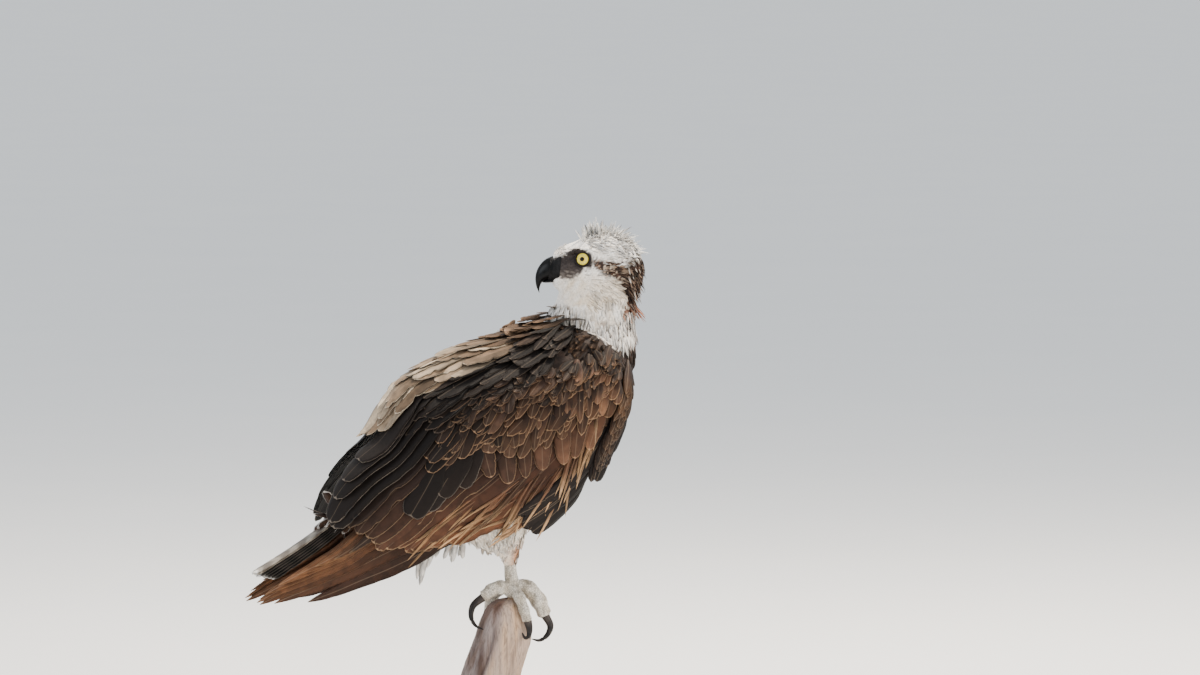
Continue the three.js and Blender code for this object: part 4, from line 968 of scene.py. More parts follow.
class Coat:
    """A coat piece: closed thin vanes, gathered row by row and made into one mesh."""

    def __init__(self):
        self.points, self.faces, self.total = [], [], 0
        self.layers = {"OFBake": [], "Barbs": [], "Pigment": [], "Fringe": [], "Place": []}

    def keep(self, layer, row, *parts):
        """Gives every point of a row of vanes its values on a layer, part beside part."""
        full = [np.broadcast_to(part, (*row, np.shape(part)[-1])) for part in parts]
        self.layers[layer].append(np.concatenate(full, -1).reshape(row[0] * row[1], -1))

    def vanes(self, centre, across, normal, half, columns, thick, camber, sweep,
              colours, fringe, fringe_share, bake):
        """Adds vanes: centre, across and normal are (feathers, stations, 3).

        Half is each station's half width, camber the fall of the sides, and sweep how far
        the barbs at the sides lie toward the tip."""
        count, stations = centre.shape[:2]
        top = np.linspace(-1, 1, columns)
        ring = np.r_[top, top[1:-1][::-1]]
        below = np.r_[np.zeros(columns), np.ones(columns - 2)]
        sides = len(ring)
        ahead = unit(np.gradient(centre, axis=1))
        reach = half[..., None] * ring
        lift = -camber * half[..., None] * ring ** 2
        thickness = np.reshape(thick, (-1, 1, 1)) * (1 - 0.6 * np.linspace(0, 1, stations))[:, None]
        lift = lift + thickness * (1 - ring ** 2) * (0.5 - below)
        forward = sweep * half[..., None] * np.abs(ring) ** 1.4
        shape = (
            centre[:, :, None] + reach[..., None] * across[:, :, None]
            + lift[..., None] * normal[:, :, None] + forward[..., None] * ahead[:, :, None]
        )
        body = shape.reshape(count, -1, 3)
        size = stations * sides + 2
        points = np.concatenate([body, centre[:, :1], centre[:, -1:] + 0.6 * ahead[:, -1:]], 1)
        at = np.arange(stations * sides).reshape(stations, sides)
        turned = np.roll(at, -1, axis=1)
        quads = np.stack([at[:-1], at[1:], turned[1:], turned[:-1]], -1).reshape(-1, 4)
        first = np.stack([np.full(sides, size - 2), at[0], turned[0]], -1)
        last = np.stack([np.full(sides, size - 1), turned[-1], at[-1]], -1)
        shift = (self.total + size * np.arange(count))[:, None, None]
        self.faces.append((quads[None] + shift).reshape(-1, 4))
        self.faces.append((np.vstack([first, last])[None] + shift).reshape(-1, 3))
        self.total += size * count
        self.points.append(points.reshape(-1, 3))
        share = np.r_[np.repeat(np.linspace(0, 1, stations), sides), 0, 1]
        t = share[:, None]
        beside = np.r_[np.tile(ring, stations), 0, 0][:, None]
        wide = np.concatenate([np.repeat(half, sides, 1), half[:, :1], half[:, -1:]], 1)[..., None]
        length = np.linalg.norm(np.diff(centre, axis=1), axis=2).sum(1)[:, None, None]
        row = (count, size)
        place = np.clip(bake[:, None, :1] + PATCH * beside / 2, MAP_RIM, 1 - MAP_RIM)
        run = np.clip(bake[:, None, 1:] + PATCH * (t - 0.5), MAP_RIM, 1 - MAP_RIM)
        self.keep("OFBake", row, place, run)
        self.keep("Barbs", row, wide * np.abs(beside) / BARB_MAP, length * (1 - t) / BARB_MAP)
        self.keep("Pigment", row, colours(share))
        self.keep("Fringe", row, np.reshape(fringe, (-1, 1, 3)),
                  np.reshape(fringe_share, (-1, 1, 1)))
        self.keep("Place", row, np.abs(beside), t, wide / WIDEST)

    def made(self, name, material, slot, *nodes):
        """The coat as one piece, which takes the place of the nodes named."""
        piece = make_piece(name, np.vstack(self.points), self.faces, material, slot)
        for layer, rows in self.layers.items():
            store = lay_out if layer in ("OFBake", "Barbs") else paint
            store(piece, layer, np.vstack(rows))
        if nodes:
            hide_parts(*nodes)
        return piece


def outline(t, root, tip, power=2.2):
    """Half width of a feather at each share of its length: narrow root, rounded tip."""
    rise = root + (1 - root) * ease(t / 0.38)
    end = np.clip((t - tip) / (1.002 - tip), 0, 1)
    return rise * (1 - end ** power) ** (1 / power)


def row_vanes(coat, side, count, roots, tips, width, lift, colour, fringe, end=None,
              edge=0.8, stations=12, columns=5, root=0.4, tip=0.72, power=2.2, taper=1.0,
              bow=1.1, rise=0.75, stack=0.0, slant=9, sweep=0.55, fray=0.0, stir=1.0,
              vary=0.2):
    """A row of feathers on the folded wing, from root to tip along the wing's own surface.

    Roots and tips are guide points in u and q, lift is that of the root and of the tip,
    stack lifts each feather over the last, taper widens the last ones, and stir and vary
    are how ragged the row and how uneven its colour are."""
    share = np.linspace(0, 1, count)
    start = between(roots, share) + chance.normal(size=(count, 2)) * [2.0, 0.006] * stir
    stop = between(tips, share) + chance.normal(size=(count, 2)) * [2.6, 0.009] * stir
    t = np.linspace(0, 1, stations)[None]
    low, high = lift
    extra = stack * np.arange(count)[:, None]
    extra = extra + chance.normal(size=(count, 1)) * 0.35 * stir
    lean = np.radians(slant + chance.normal(size=(count, 1, 1)) * 3 * stir)

    def place(s):
        u = start[:, :1] + (stop[:, :1] - start[:, :1]) * s
        q = start[:, 1:] + (stop[:, 1:] - start[:, 1:]) * np.abs(s) ** bow
        above = low + (high - low) * np.abs(s) ** rise + extra
        return (wing_point(side, u, q, above), wing_point(side, u, q, above + 1),
                wing_point(side, u, q + 0.02, above))

    centre, outer, lower = place(t)
    out = unit(outer - centre)
    ahead = unit(place(t + 0.02)[0] - centre)
    flat = unit(np.cross(out, ahead))
    flat = np.where(((lower - centre) * flat).sum(-1, keepdims=True) < 0, -flat, flat)
    normal = np.cross(flat, ahead)
    normal = np.where((normal * out).sum(-1, keepdims=True) < 0, -normal, normal)
    across = flat * np.cos(lean) + normal * np.sin(lean)
    top = normal * np.cos(lean) - flat * np.sin(lean)
    wide = width * (1 + 0.06 * chance.normal(size=(count, 1)) * stir)
    wide = wide * (1 + (taper - 1) * share[:, None])
    half = wide / 2 * outline(t, root, tip, power)
    if fray:
        notch = chance.random(half.shape) < 0.3
        half = half * (1 - fray * notch * chance.random(half.shape) * ease((t - 0.25) / 0.2))
    base = colour(share)[:, None]
    tone = np.exp(vary * chance.normal(size=(count, 1, 1)))
    far = end(share)[:, None] if end else base * 1.12

    def colours(t_all):
        shift = ease((t_all - 0.4) / 0.5)[None, :, None]
        return np.clip(tone * blended(base, far, shift), 0, 1)

    # On the OFBake map a wing runs from u -320 to 170, and from q 0 to 1.2.
    bake = np.stack([0.03 + 0.94 * (start[:, 0] + 320) / 490, 0.03 + 0.9 * start[:, 1] / 1.2], -1)
    rim = edge * (0.35 + 0.65 * chance.random(count))
    coat.vanes(centre, across, top, half, columns, 0.7, 0.12, sweep, colours,
               np.broadcast_to(fringe(share), (count, 3)), rim, bake)


def scatter(surface, keep, gap):
    """Random places over the triangles that keep() accepts, at least gap apart."""
    points, corners, normals = surface
    middle = points[corners].mean(1)
    corners = corners[keep(middle)]
    a, b, c = (points[corners[:, k]] for k in range(3))
    area = np.linalg.norm(np.cross(b - a, c - a), axis=1) / 2
    count = int(area.sum() / gap ** 2 * 2.6)
    chosen = chance.choice(len(corners), count, p=area / area.sum())
    r1, r2 = np.sqrt(chance.random((count, 1))), chance.random((count, 1))
    weights = (1 - r1, r1 * (1 - r2), r1 * r2)
    place = sum(k * points[corners[chosen, n]] for n, k in enumerate(weights))
    normal = unit(sum(k * normals[corners[chosen, n]] for n, k in enumerate(weights)))
    taken, kept = {}, []
    cells = np.floor(place / gap).astype(int)
    steps = [(i, j, k) for i in (-1, 0, 1) for j in (-1, 0, 1) for k in (-1, 0, 1)]
    for n in range(count):
        x, y, z = cells[n]
        near = [m for i, j, k in steps for m in taken.get((x + i, y + j, z + k), ())]
        if near and (((place[near] - place[n]) ** 2).sum(1) < gap ** 2).any():
            continue
        taken.setdefault((x, y, z), []).append(n)
        kept.append(n)
    return place[kept], normal[kept]


def body_vanes(coat, place, normal, way, length, width, raise_deg, round_mm, colour, bake,
               stations=6, columns=3, fringe=None, fringe_share=0.0, tip=0.55, root=0.5,
               stir=10.0, thick=0.5, tip_colour=None, droop=0.35, power=2.2):
    """Small feathers on the skin: they leave it at a low angle and bend with its roundness.

    Way is the lie of the feathers, raise_deg their angle to the skin, and droop how much of
    that rise they lose again by the tip."""
    count = len(place)
    length = np.broadcast_to(length, (count,)) * (1 + 0.12 * chance.normal(size=count))
    width = np.broadcast_to(width, (count,)) * (1 + 0.1 * chance.normal(size=count))
    rise = np.radians(np.broadcast_to(raise_deg, (count,)) + 4 * chance.normal(size=count))
    way = way - (way * normal).sum(1, keepdims=True) * normal
    way = unit(way + 1e-6)
    beside = np.cross(normal, way)
    yaw = np.radians(stir * chance.normal(size=(count, 1)))
    way = way * np.cos(yaw) + beside * np.sin(yaw)
    beside = np.cross(normal, way)
    t = np.linspace(0, 1, stations)
    height = length * np.sin(rise)
    bend = np.maximum(length ** 2 / (2 * np.broadcast_to(round_mm, (count,))), 0)
    out = height[:, None] * t - (bend + droop * height)[:, None] * t ** 2 - 0.8
    run = (length * np.cos(rise))[:, None] * t
    drift = (0.06 * length * chance.normal(size=count))[:, None] * t ** 2
    centre = (place[:, None] + run[..., None] * way[:, None] + out[..., None] * normal[:, None]
              + drift[..., None] * beside[:, None])
    ahead = unit(np.gradient(centre, axis=1))
    top = unit(normal[:, None] - (normal[:, None] * ahead).sum(-1, keepdims=True) * ahead)
    across = np.cross(ahead, top)
    roll = np.radians(12 * chance.normal(size=(count, 1, 1)))
    across, top = (across * np.cos(roll) + top * np.sin(roll),
                   top * np.cos(roll) - across * np.sin(roll))
    half = width[:, None] / 2 * outline(t, root, tip, power)[None]
    colour = np.clip(colour * (1 + 0.07 * chance.normal(size=(count, 1))), 0, 1)[:, None]
    tip_colour = colour if tip_colour is None else tip_colour[:, None]

    def colours(t_all):
        shift = ease((t_all - 0.35) / 0.6)[None, :, None]
        return blended(colour, tip_colour, shift)

    fringe = colour if fringe is None else fringe
    coat.vanes(centre, across, top, half, columns, thick, 0.15, 0.5, colours, fringe,
               fringe_share, bake)


def round_bake(points, centre, axis, side, low, high):
    """Places on an unwrap round an axis: turn about it, and distance along it."""
    offset = points - centre
    other = np.cross(axis, side)
    turn = np.arctan2(offset @ other, offset @ side) / (2 * math.pi) + 0.5
    run = (offset @ axis - low) / (high - low)
    return np.stack([0.02 + 0.96 * turn, 0.02 + 0.96 * np.clip(run, 0, 1)], -1)


# Rows of the folded wing, from its front to its back: guide points in u and q of the
# roots, then of the tips
TAN_EDGE = shade("#a58260", "#94755a")
GREY_EDGE = shade("#857a6f", "#6b6158")
MARGINAL = ([[152, 0.68], [134, 0.52], [100, 0.42], [60, 0.37], [15, 0.33]],
            [[124, 0.75], [100, 0.63], [55, 0.55], [6, 0.48], [-38, 0.43]])
LESSER = ([[146, 0.75], [124, 0.62], [100, 0.55], [76, 0.51], [51, 0.49], [27, 0.46],
           [8, 0.42], [-13, 0.41]],
          [[110, 0.83], [82, 0.73], [52, 0.70], [24, 0.68], [-3, 0.65], [-21, 0.60],
           [-43, 0.55], [-67, 0.53]])
MEDIAN = ([[127, 0.80], [108, 0.70], [87, 0.64], [63, 0.62], [40, 0.60], [17, 0.59],
           [1, 0.55], [-15, 0.50], [-35, 0.49]],
          [[88, 0.88], [61, 0.82], [35, 0.80], [12, 0.78], [-10, 0.75], [-29, 0.73],
           [-43, 0.67], [-66, 0.64], [-92, 0.61]])
GREATER = ([[98, 0.81], [79, 0.74], [58, 0.69], [35, 0.67], [12, 0.66], [-6, 0.63],
            [-25, 0.59], [-45, 0.59], [-66, 0.58]],
           [[50, 0.92], [29, 0.87], [5, 0.86], [-20, 0.84], [-43, 0.81], [-61, 0.75],
            [-82, 0.74], [-112, 0.73], [-136, 0.75]])
SECONDARY = ([[88, 0.845], [40, 0.72], [-24, 0.49]],
             [[-112, 0.985], [-139, 0.95], [-162, 0.9], [-180, 0.78], [-193, 0.56]])
TERTIAL = ([[-16, 0.44], [-22, 0.33], [-26, 0.22]],
           [[-201, 0.44], [-199, 0.34], [-172, 0.29], [-140, 0.26]])
PRIMARY = ([[5, 0.97], [34, 0.96], [61, 0.95], [89, 0.94]],
           [[-267, 1.03], [-303, 0.79], [-312, 0.64], [-301, 0.56], [-279, 0.56],
            [-252, 0.6], [-226, 0.65], [-206, 0.7]])


GUIDE = np.linspace(0, 1, 9)


def guide(first, second, share):
    """Roots and tips of a row that lies between two guide rows."""
    return [blended(between(a, GUIDE), between(b, GUIDE), share) for a, b in zip(first, second)]


def drawn_in(roots, tips, keep):
    """Roots moved toward the tips, so that a row's feathers keep only a share of their length."""
    far = between(tips, GUIDE)
    return far + (between(roots, GUIDE) - far) * keep


def arm_coat(side):
    """Coverts, secondaries, tertials and scapulars of one wing."""
    coat = Coat()
    row_vanes(
        coat, side, count=14, roots=SECONDARY[0], tips=SECONDARY[1], width=25,
        lift=(-7, -2.5), bow=1.5, stations=28, columns=7, tip=0.74, power=1.8,
        colour=shade("#3f271b", "#2f1d15", "#1d1411"),
        end=shade("#6e4730", "#4f3324", "#221915"), fringe=shade("#b6926f", "#a78765", "#6e5a48"),
        edge=0.85, fray=0.3, sweep=0.8, slant=10)
    strands(coat, side)
    row_vanes(
        coat, side, count=5, roots=TERTIAL[0], tips=TERTIAL[1], width=35, lift=(-5.5, 0.5), bow=1.0,
        stations=24, columns=9, tip=0.72, power=2.0, colour=shade("#0e0a09", "#120d0b"),
        stack=0.5, end=shade("#15100e", "#1a1411"), fringe=GREY_EDGE, edge=0.75, fray=0.06,
        vary=0.12)
    row_vanes(
        coat, side, count=9, roots=GREATER[0], tips=between(GREATER[1], np.linspace(0, 0.72, 9)),
        width=20, lift=(-5, 0), bow=1.2, stations=18, columns=7, tip=0.46, power=1.9,
        colour=shade("#3a2519", "#33231a", "#241915"), end=shade("#5c3f2d", "#4b3428", "#2a1e19"),
        fringe=TAN_EDGE, edge=0.75, fray=0.14, vary=0.3, stir=1.4)
    row_vanes(
        coat, side, count=4, roots=between(GREATER[0], np.linspace(0.74, 1, 4)),
        tips=between(GREATER[1], np.linspace(0.74, 1, 4)), width=28, lift=(-5, 0.8),
        stations=20, columns=9, tip=0.66, power=2.1, colour=shade("#150f0d", "#120d0b"),
        end=shade("#1e1612", "#17110f"), fringe=GREY_EDGE, edge=0.8, fray=0.05, vary=0.1,
        stack=0.4)
    for shift, width, lift in ((0.0, 15, 0.2), (0.35, 14, 0.9)):
        roots, tips = guide(MEDIAN, LESSER, shift)
        row_vanes(
            coat, side, count=15, roots=drawn_in(roots, tips, 0.78), tips=tips, width=width,
            lift=(-4.6, lift), bow=1.1, stations=14, columns=7, tip=0.44, power=1.9,
            colour=shade("#2e1f17", "#31221a", "#1a1310"),
            end=shade("#5b3f2c", "#4e382a", "#201814"), fringe=TAN_EDGE, edge=0.7, taper=1.35,
            vary=0.36, stir=1.9)
    for n in range(6):
        share = 0.82 - 0.3 * n
        if share < 0:
            roots, tips = guide(MARGINAL, LESSER, min(max(share + 0.9, 0.0), 1.0))
        else:
            roots, tips = guide(LESSER, MEDIAN, share)
        row_vanes(
            coat, side, count=19 + n, roots=drawn_in(roots, tips, 0.62), tips=tips,
            width=12.5 - 0.5 * n, lift=(-4.2, 1.2 + 0.32 * n), stations=10, columns=7,
            tip=0.42, power=1.9, colour=shade("#1f1511", "#281b15", "#18120f"),
            end=shade("#4e3627", "#453124", "#1e1714"), fringe=TAN_EDGE,
            edge=0.65 - 0.05 * n, taper=1.3, stir=2.6, vary=0.42)
    for n in range(4):
        roots, tips = guide(MARGINAL, LESSER, 0.75 - 0.25 * n)
        row_vanes(
            coat, side, count=24, roots=drawn_in(roots, tips, 0.5), tips=drawn_in(tips, roots, 0.9),
            width=9.5, lift=(-3.8, 2.6 + 0.2 * n), stations=8, columns=5, tip=0.45, power=1.9,
            colour=shade("#17110e", "#201712", "#17110f"),
            end=shade("#2c1f18", "#33251d", "#1d1613"), fringe=shade("#7a5c42", "#6b523e"),
            edge=0.5, taper=1.25, stir=2.4, vary=0.4)
    mantle_rows(coat, side)
    return coat


def strands(coat, side):
    """Worn, bleached narrow feathers that straggle over the flight feathers."""
    for count, roots, tips, width in (
            (8, [[96, 0.84], [72, 0.86]], [[56, 0.93], [34, 0.96]], 4.5),
            (34, [[66, 0.88], [20, 0.88], [-20, 0.87], [-60, 0.82]],
             [[22, 0.985], [-40, 1.0], [-92, 0.97], [-130, 0.9]], 5.0),
            (24, [[20, 0.94], [-30, 0.93], [-90, 0.86]],
             [[-34, 1.03], [-90, 1.02], [-160, 0.94]], 4.2)):
        row_vanes(
            coat, side, count=count, roots=roots, tips=tips, width=width, lift=(-4.5, -0.6),
            bow=1.2, stations=12, columns=3, tip=0.4, power=1.6, colour=shade("#4a2f20", "#5d3d2a"),
            end=shade("#ab8763", "#80603f"), fringe=shade("#bd9b76", "#a5845f"), edge=0.5,
            fray=0.35, stir=3.2, vary=0.4)


def mantle_rows(coat, side):
    """Scapulars and mantle: pale taupe along the back, painted sunlight over worn pale fringes, and
    a near-black band below them.
    """
    ends = [-104, -86, -68, -50, -31, -12, 7, 25, 42, 58, 72, 85, 96]
    for n, end in enumerate(ends):
        part = n / (len(ends) - 1)
        length = 84 - 58 * part
        last = 0.34 + 0.1 * ease(part * 3) - 0.06 * ease((part - 0.6) / 0.4)
        q = np.linspace(0.02, last, 8 if n % 2 else 7) + (0.02 if n % 2 else 0)
        q = q + 0.012 * chance.normal(size=len(q))
        slip = 14 * np.cos(q * 7 + n) * (1 - 0.6 * part) + 7 * chance.normal(size=len(q))
        back = np.minimum(end + length - slip, 112 - 30 * ease((0.25 - q) / 0.2))
        roots = np.stack([np.maximum(back, end - slip + 22), q * 0.93], -1)
        tips = np.stack([end - slip, q * 1.04 + 0.012], -1)
        # Painted sunlight: the rear and middle rows along the top of the back are painted pale
        # taupe, as lit from above and behind, over their worn pale fringes.
        pale = ease((0.72 - part) / 0.3)
        dark_from = 0.2 + 0.06 * part - 0.07 * ease((part - 0.5) / 0.3)
        mood = chance.random(len(q))
        dark = ease((q - dark_from) / 0.05)[:, None]
        light = shade("#57412f", "#85705a", "#bba991")(pale * (0.3 + 0.7 * mood))
        tone = blended(light, shade("#0c0807", "#1a120e")(mood), dark)
        sunlit_worn_fringe = shade("#9c7d5f", "#d8c9b3")(np.full(len(q), pale))
        rim = blended(sunlit_worn_fringe, linear("#5a4e45"), dark)
        row_vanes(
            coat, side, count=len(q), roots=roots, tips=tips, width=27 - 14 * part,
            lift=(-5.2, 2.2 + 1.4 * part), bow=1.0, stations=16, columns=9, tip=0.42, power=1.8,
            colour=lambda share, tone=tone: tone * 0.5, end=lambda share, tone=tone: tone * 1.15,
            fringe=lambda share, rim=rim: rim, edge=0.7, fray=0.35, slant=6, stir=2.6, vary=0.22)
    if side > 0:
        ruffle(coat)


# Ruffled back feathers: u, v and w of the root, length, and angle to the back
RUFFLED = [[-18, 4, 94, 30, 24], [-24, 10, 92, 26, 20], [-12, 0, 95, 27, 28],
           [66, 6, 74, 20, 9], [80, 2, 70, 18, 8], [92, 8, 66, 16, 7]]


def ruffle(coat):
    """A few back feathers that stand out of the outline, as in the photo."""
    u, v, w, length, angle = np.array(RUFFLED, float).T
    place = body_point(u, v, w)
    bake = np.tile([[0.5, 0.1]], (len(u), 1))
    tint = shade("#4a3628", "#7d6752")(np.linspace(0, 1, len(u)))
    normal = np.broadcast_to(unit(DORSAL), place.shape)
    way = np.broadcast_to(-FORWARD + 0.1 * UP, place.shape)
    body_vanes(coat, place, normal, way, length, 10, angle, 400.0, tint, bake, stations=12,
               columns=7, tip=0.5, root=0.5, stir=6, thick=0.7, fringe=linear("#cdbda7"),
               fringe_share=0.5, tip_colour=tint * 1.3, droop=0.1)


def hand_coat(side):
    """Primaries, their coverts and the alula of one wing."""
    coat = Coat()
    row_vanes(
        coat, side, count=10, roots=PRIMARY[0], tips=PRIMARY[1], width=21, lift=(-17.5, -9), rise=6,
        stack=1.0, bow=1.0, stations=36, columns=7, tip=0.6, power=1.45, stir=0.2,
        colour=shade("#26170f", "#432a1c", "#4e3222", "#1d1512"),
        end=shade("#332017", "#62402a", "#704a30", "#2b1f19"),
        fringe=shade("#4a2f20", "#8f6a46", "#9c774f"), edge=0.4, fray=0.1, sweep=0.9,
        slant=8, vary=0.15)
    row_vanes(
        coat, side, count=10, roots=[[44, 0.985], [70, 0.97], [100, 0.955]],
        tips=[[-44, 1.045], [-49, 1.01], [-46, 0.975], [-34, 0.955], [-12, 0.945]],
        width=19, lift=(-6, -0.5), stations=18, columns=7, tip=0.68, power=2.1,
        colour=shade("#100c0b", "#161110"), end=shade("#17110f", "#1d1613"),
        fringe=shade("#33261f", "#40322a"), edge=0.25, vary=0.1, stir=0.7)
    row_vanes(
        coat, side, count=5, roots=[[100, 0.97], [112, 0.965], [122, 0.955]],
        tips=[[40, 1.035], [58, 1.02], [78, 0.985]], width=13, lift=(-5, 1.5), stations=16,
        columns=7, tip=0.72, colour=shade("#120d0c", "#181211"),
        fringe=shade("#33261f", "#3d2f27"), edge=0.3, vary=0.1)
    for n in range(5):
        share = 0.1 + 0.25 * n
        row_vanes(
            coat, side, count=14,
            roots=[[146, 0.88 + 0.02 * share], [112 - 10 * share, 0.94], [78 - 12 * share, 0.975]],
            tips=[[122 - 10 * share, 0.93], [88 - 14 * share, 0.98], [56 - 16 * share, 1.02]],
            width=10, lift=(-5, 2.2 - 0.5 * share), stations=9, columns=5, tip=0.5, power=2.0,
            colour=shade("#241914", "#181210"), end=shade("#46301f", "#1f1815"),
            fringe=shade("#7a5c42", "#4a3a30"), edge=0.45, stir=1.4, vary=0.3)
    return coat


def tail_coat():
    """Twelve tail feathers: soft bars and white tips, painted pale on top as sunlit and nearly
    black on the near side as shade.
    """
    coat = Coat()
    for out in np.arange(12) - 5.5:
        sign = math.copysign(1, out)
        central = abs(out) < 1
        depth = 2.0 * (out < 0) if central else abs(out) * 2.1
        inner = -11 if central else 1.2
        outer = 12 + 2 * abs(out)
        reach = 291 - 0.35 * out * out + chance.normal()
        t = np.linspace(0, 1, 48)
        v = sign * (inner + outer) / 2 * (0.75 + 0.25 * t)
        w = 31 + 5 * t - depth * (0.5 + 0.5 * t) - 3 * np.sin(math.pi * t)
        centre = body_point(-150 + (150 - reach) * t, v, w)[None]
        lean = 0 if central else sign * math.radians(6 + abs(out))
        across = np.broadcast_to(RIGHT * math.cos(lean) - DORSAL * math.sin(lean), centre.shape)
        normal = np.broadcast_to(DORSAL * math.cos(lean) + RIGHT * math.sin(lean), centre.shape)
        half = (outer - inner) / 2 * outline(t, 0.5, 0.9, 2.0)[None]
        notch = (chance.random(half.shape) < 0.25) * chance.random(half.shape) * 0.1
        half = half * (1 - notch)
        # Painted light and shade: pale where sun falls on the top of the tail, near black on the
        # feathers of the near side, greyer on the far side.
        light = 1 - float(ease((out + 0.3) / 1.6)) if out > 0 else 1 + 0.12 * out

        def colours(t_all, light=light):
            bars = 0.5 + 0.5 * np.sin(t_all * 2 * math.pi * 6.5)
            dark = shade("#100d0c", "#92867a")(np.full(len(t_all), light))
            pale = shade("#2a2421", "#d0c6b6")(np.full(len(t_all), light))
            share = ease((bars - 0.25) / 0.5)[:, None]
            end = ease((t_all - 0.955) / 0.02)[:, None]
            return blended(blended(dark, pale, share), linear("#f4f0ea"), end)[None]

        bake = np.array([[0.5 + out / 13, 0.4]])
        coat.vanes(centre, across, normal, half, 7, 0.8, 0.06, 0.5, colours,
                   linear("#cdbfa9"), 0.12 + 0.3 * light, bake)
    return coat


def small_coats(surface):
    """Head, neck, breast, belly, legs and tail coverts, placed on the skin."""
    def part_points(part, gap, test=None):
        def keep(points):
            chosen = part_of(points) == part
            return chosen & test(points) if test else chosen
        return scatter(surface, keep, gap)

    return {"head": head_coat(part_points), "neck": neck_coat(part_points),
            "body": body_coat(part_points)}


def head_way(points):
    """The lie of the head's feathers: back from the bill, then down the nape and the cheeks."""
    x, y, z = in_head(points)
    down = 0.15 + 1.6 * ease((-28 - x) / 16) + 0.75 * ease((-z - 12) / 20)
    side = 0.25 * np.sign(y) * ease(np.abs(y) / 12) * ease((25 - x) / 20)
    return -HEAD_X + side[:, None] * HEAD_Y - down[:, None] * UP


# Farther than any feather lies from an eye
FAR = 1000.0


def eye_gap(points):
    """Distance from the nearer eye's axis, on the side that it looks out of."""
    best = np.full(len(points), FAR)
    for side in (1, -1):
        centre, axis = eye_axis(side)
        offset = points - centre
        run = offset @ axis
        away = np.linalg.norm(offset - run[:, None] * axis, axis=1)
        best = np.minimum(best, np.where(run > 0, away, FAR))
    return best


def head_bake(points):
    """Places of the head's feathers on its unwrap."""
    return round_bake(points, HEAD_CENTRE, -HEAD_X, UP, -46, 54)


def neck_bake(points):
    """Places of the neck's feathers on its unwrap."""
    return round_bake(points, HEAD_CENTRE, UP, HEAD_X, -150, 0)


def body_bake(points, front=150):
    """Places of the body's feathers on its unwrap."""
    return round_bake(points, BODY_ORIGIN, FORWARD, DORSAL, -190, front)


def head_coat(part_points):
    """Short white feathers of the head, with room for the eyes and the bill."""
    coat = Coat()

    def bare(points):
        x, _, z = in_head(points)
        return (eye_gap(points) > 8.5) & ((x < 38) | (z > 0))

    place, normal = part_points(HEAD, 1.9, bare)
    x, _, z = in_head(place)
    gap = eye_gap(place)
    face = ease((x - 6) / 22)
    crown = ease((z - 10) / 8) * ease((16 - x) / 10)
    length = 10.5 - 6 * face + 2.5 * ease((-x - 10) / 20) + 2 * crown
    length = np.minimum(length, 2.2 + 0.75 * np.maximum(gap - 9, 0) + 20 * (gap > 16) * (x < 2))
    width = 3.0 - 1.2 * face
    rise = 16 - 6 * face + 14 * crown + 22 * ease((x - 30) / 6) * ease((z - 2) / 3)
    length = length + 3 * ease((x - 32) / 5) * ease((z - 1) / 3)
    lie = head_way(place)
    tint = head_marking(place)
    ahead = head_marking(place + unit(lie) * length[:, None] * 0.7)
    body_vanes(coat, place, normal, lie, length, width, rise, 30.0, tint, head_bake(place),
               stations=5, tip=0.4, root=0.7, stir=12, thick=0.35, tip_colour=ahead)
    crest(coat)
    nape_tufts(coat)
    return coat


def crest(coat):
    """Loose pointed locks that stand up from the crown and lean back, a few with dark tips."""
    for locks, wide, low, more in ((34, 6.5, 13, 9), (230, 3.6, 10, 9)):
        x = 14 - 56 * chance.random(locks) ** 0.95
        spread = 14 + 6 * ease((8 - x) / 20)
        y = spread * np.clip(chance.normal(size=locks) * 0.5, -1, 1)
        top = along(HEAD_FORM, x)[:, 0]
        place = head_point(x, y, top - 3.5 - 0.022 * y * y)
        normal = unit(UP + 0.035 * y[:, None] * HEAD_Y + 0.02 * (x + 12)[:, None] * HEAD_X)
        rise = 78 - 42 * ease((-2 - x) / 36) + 10 * chance.normal(size=locks)
        length = low + 2 * ease((14 - x) / 14) + more * chance.random(locks) ** 1.6
        length = length * (1 - 0.35 * ease((np.abs(y) - 9) / 8))
        length = length * (1 - 0.3 * ease((-18 - x) / 20))
        lie = -HEAD_X + 0.05 * y[:, None] * HEAD_Y
        dark = (chance.random(locks) < 0.16)[:, None]
        tint = linear("#fffdf8") * (0.92 + 0.08 * chance.random((locks, 1)))
        tip = np.where(dark, linear("#33261f"), tint)
        body_vanes(coat, place, normal, lie, length, wide, rise, 200.0, tint, head_bake(place),
                   stations=9, columns=5, tip=0.1, root=0.9, stir=12, thick=0.5,
                   tip_colour=tip, droop=0.1, power=1.15)


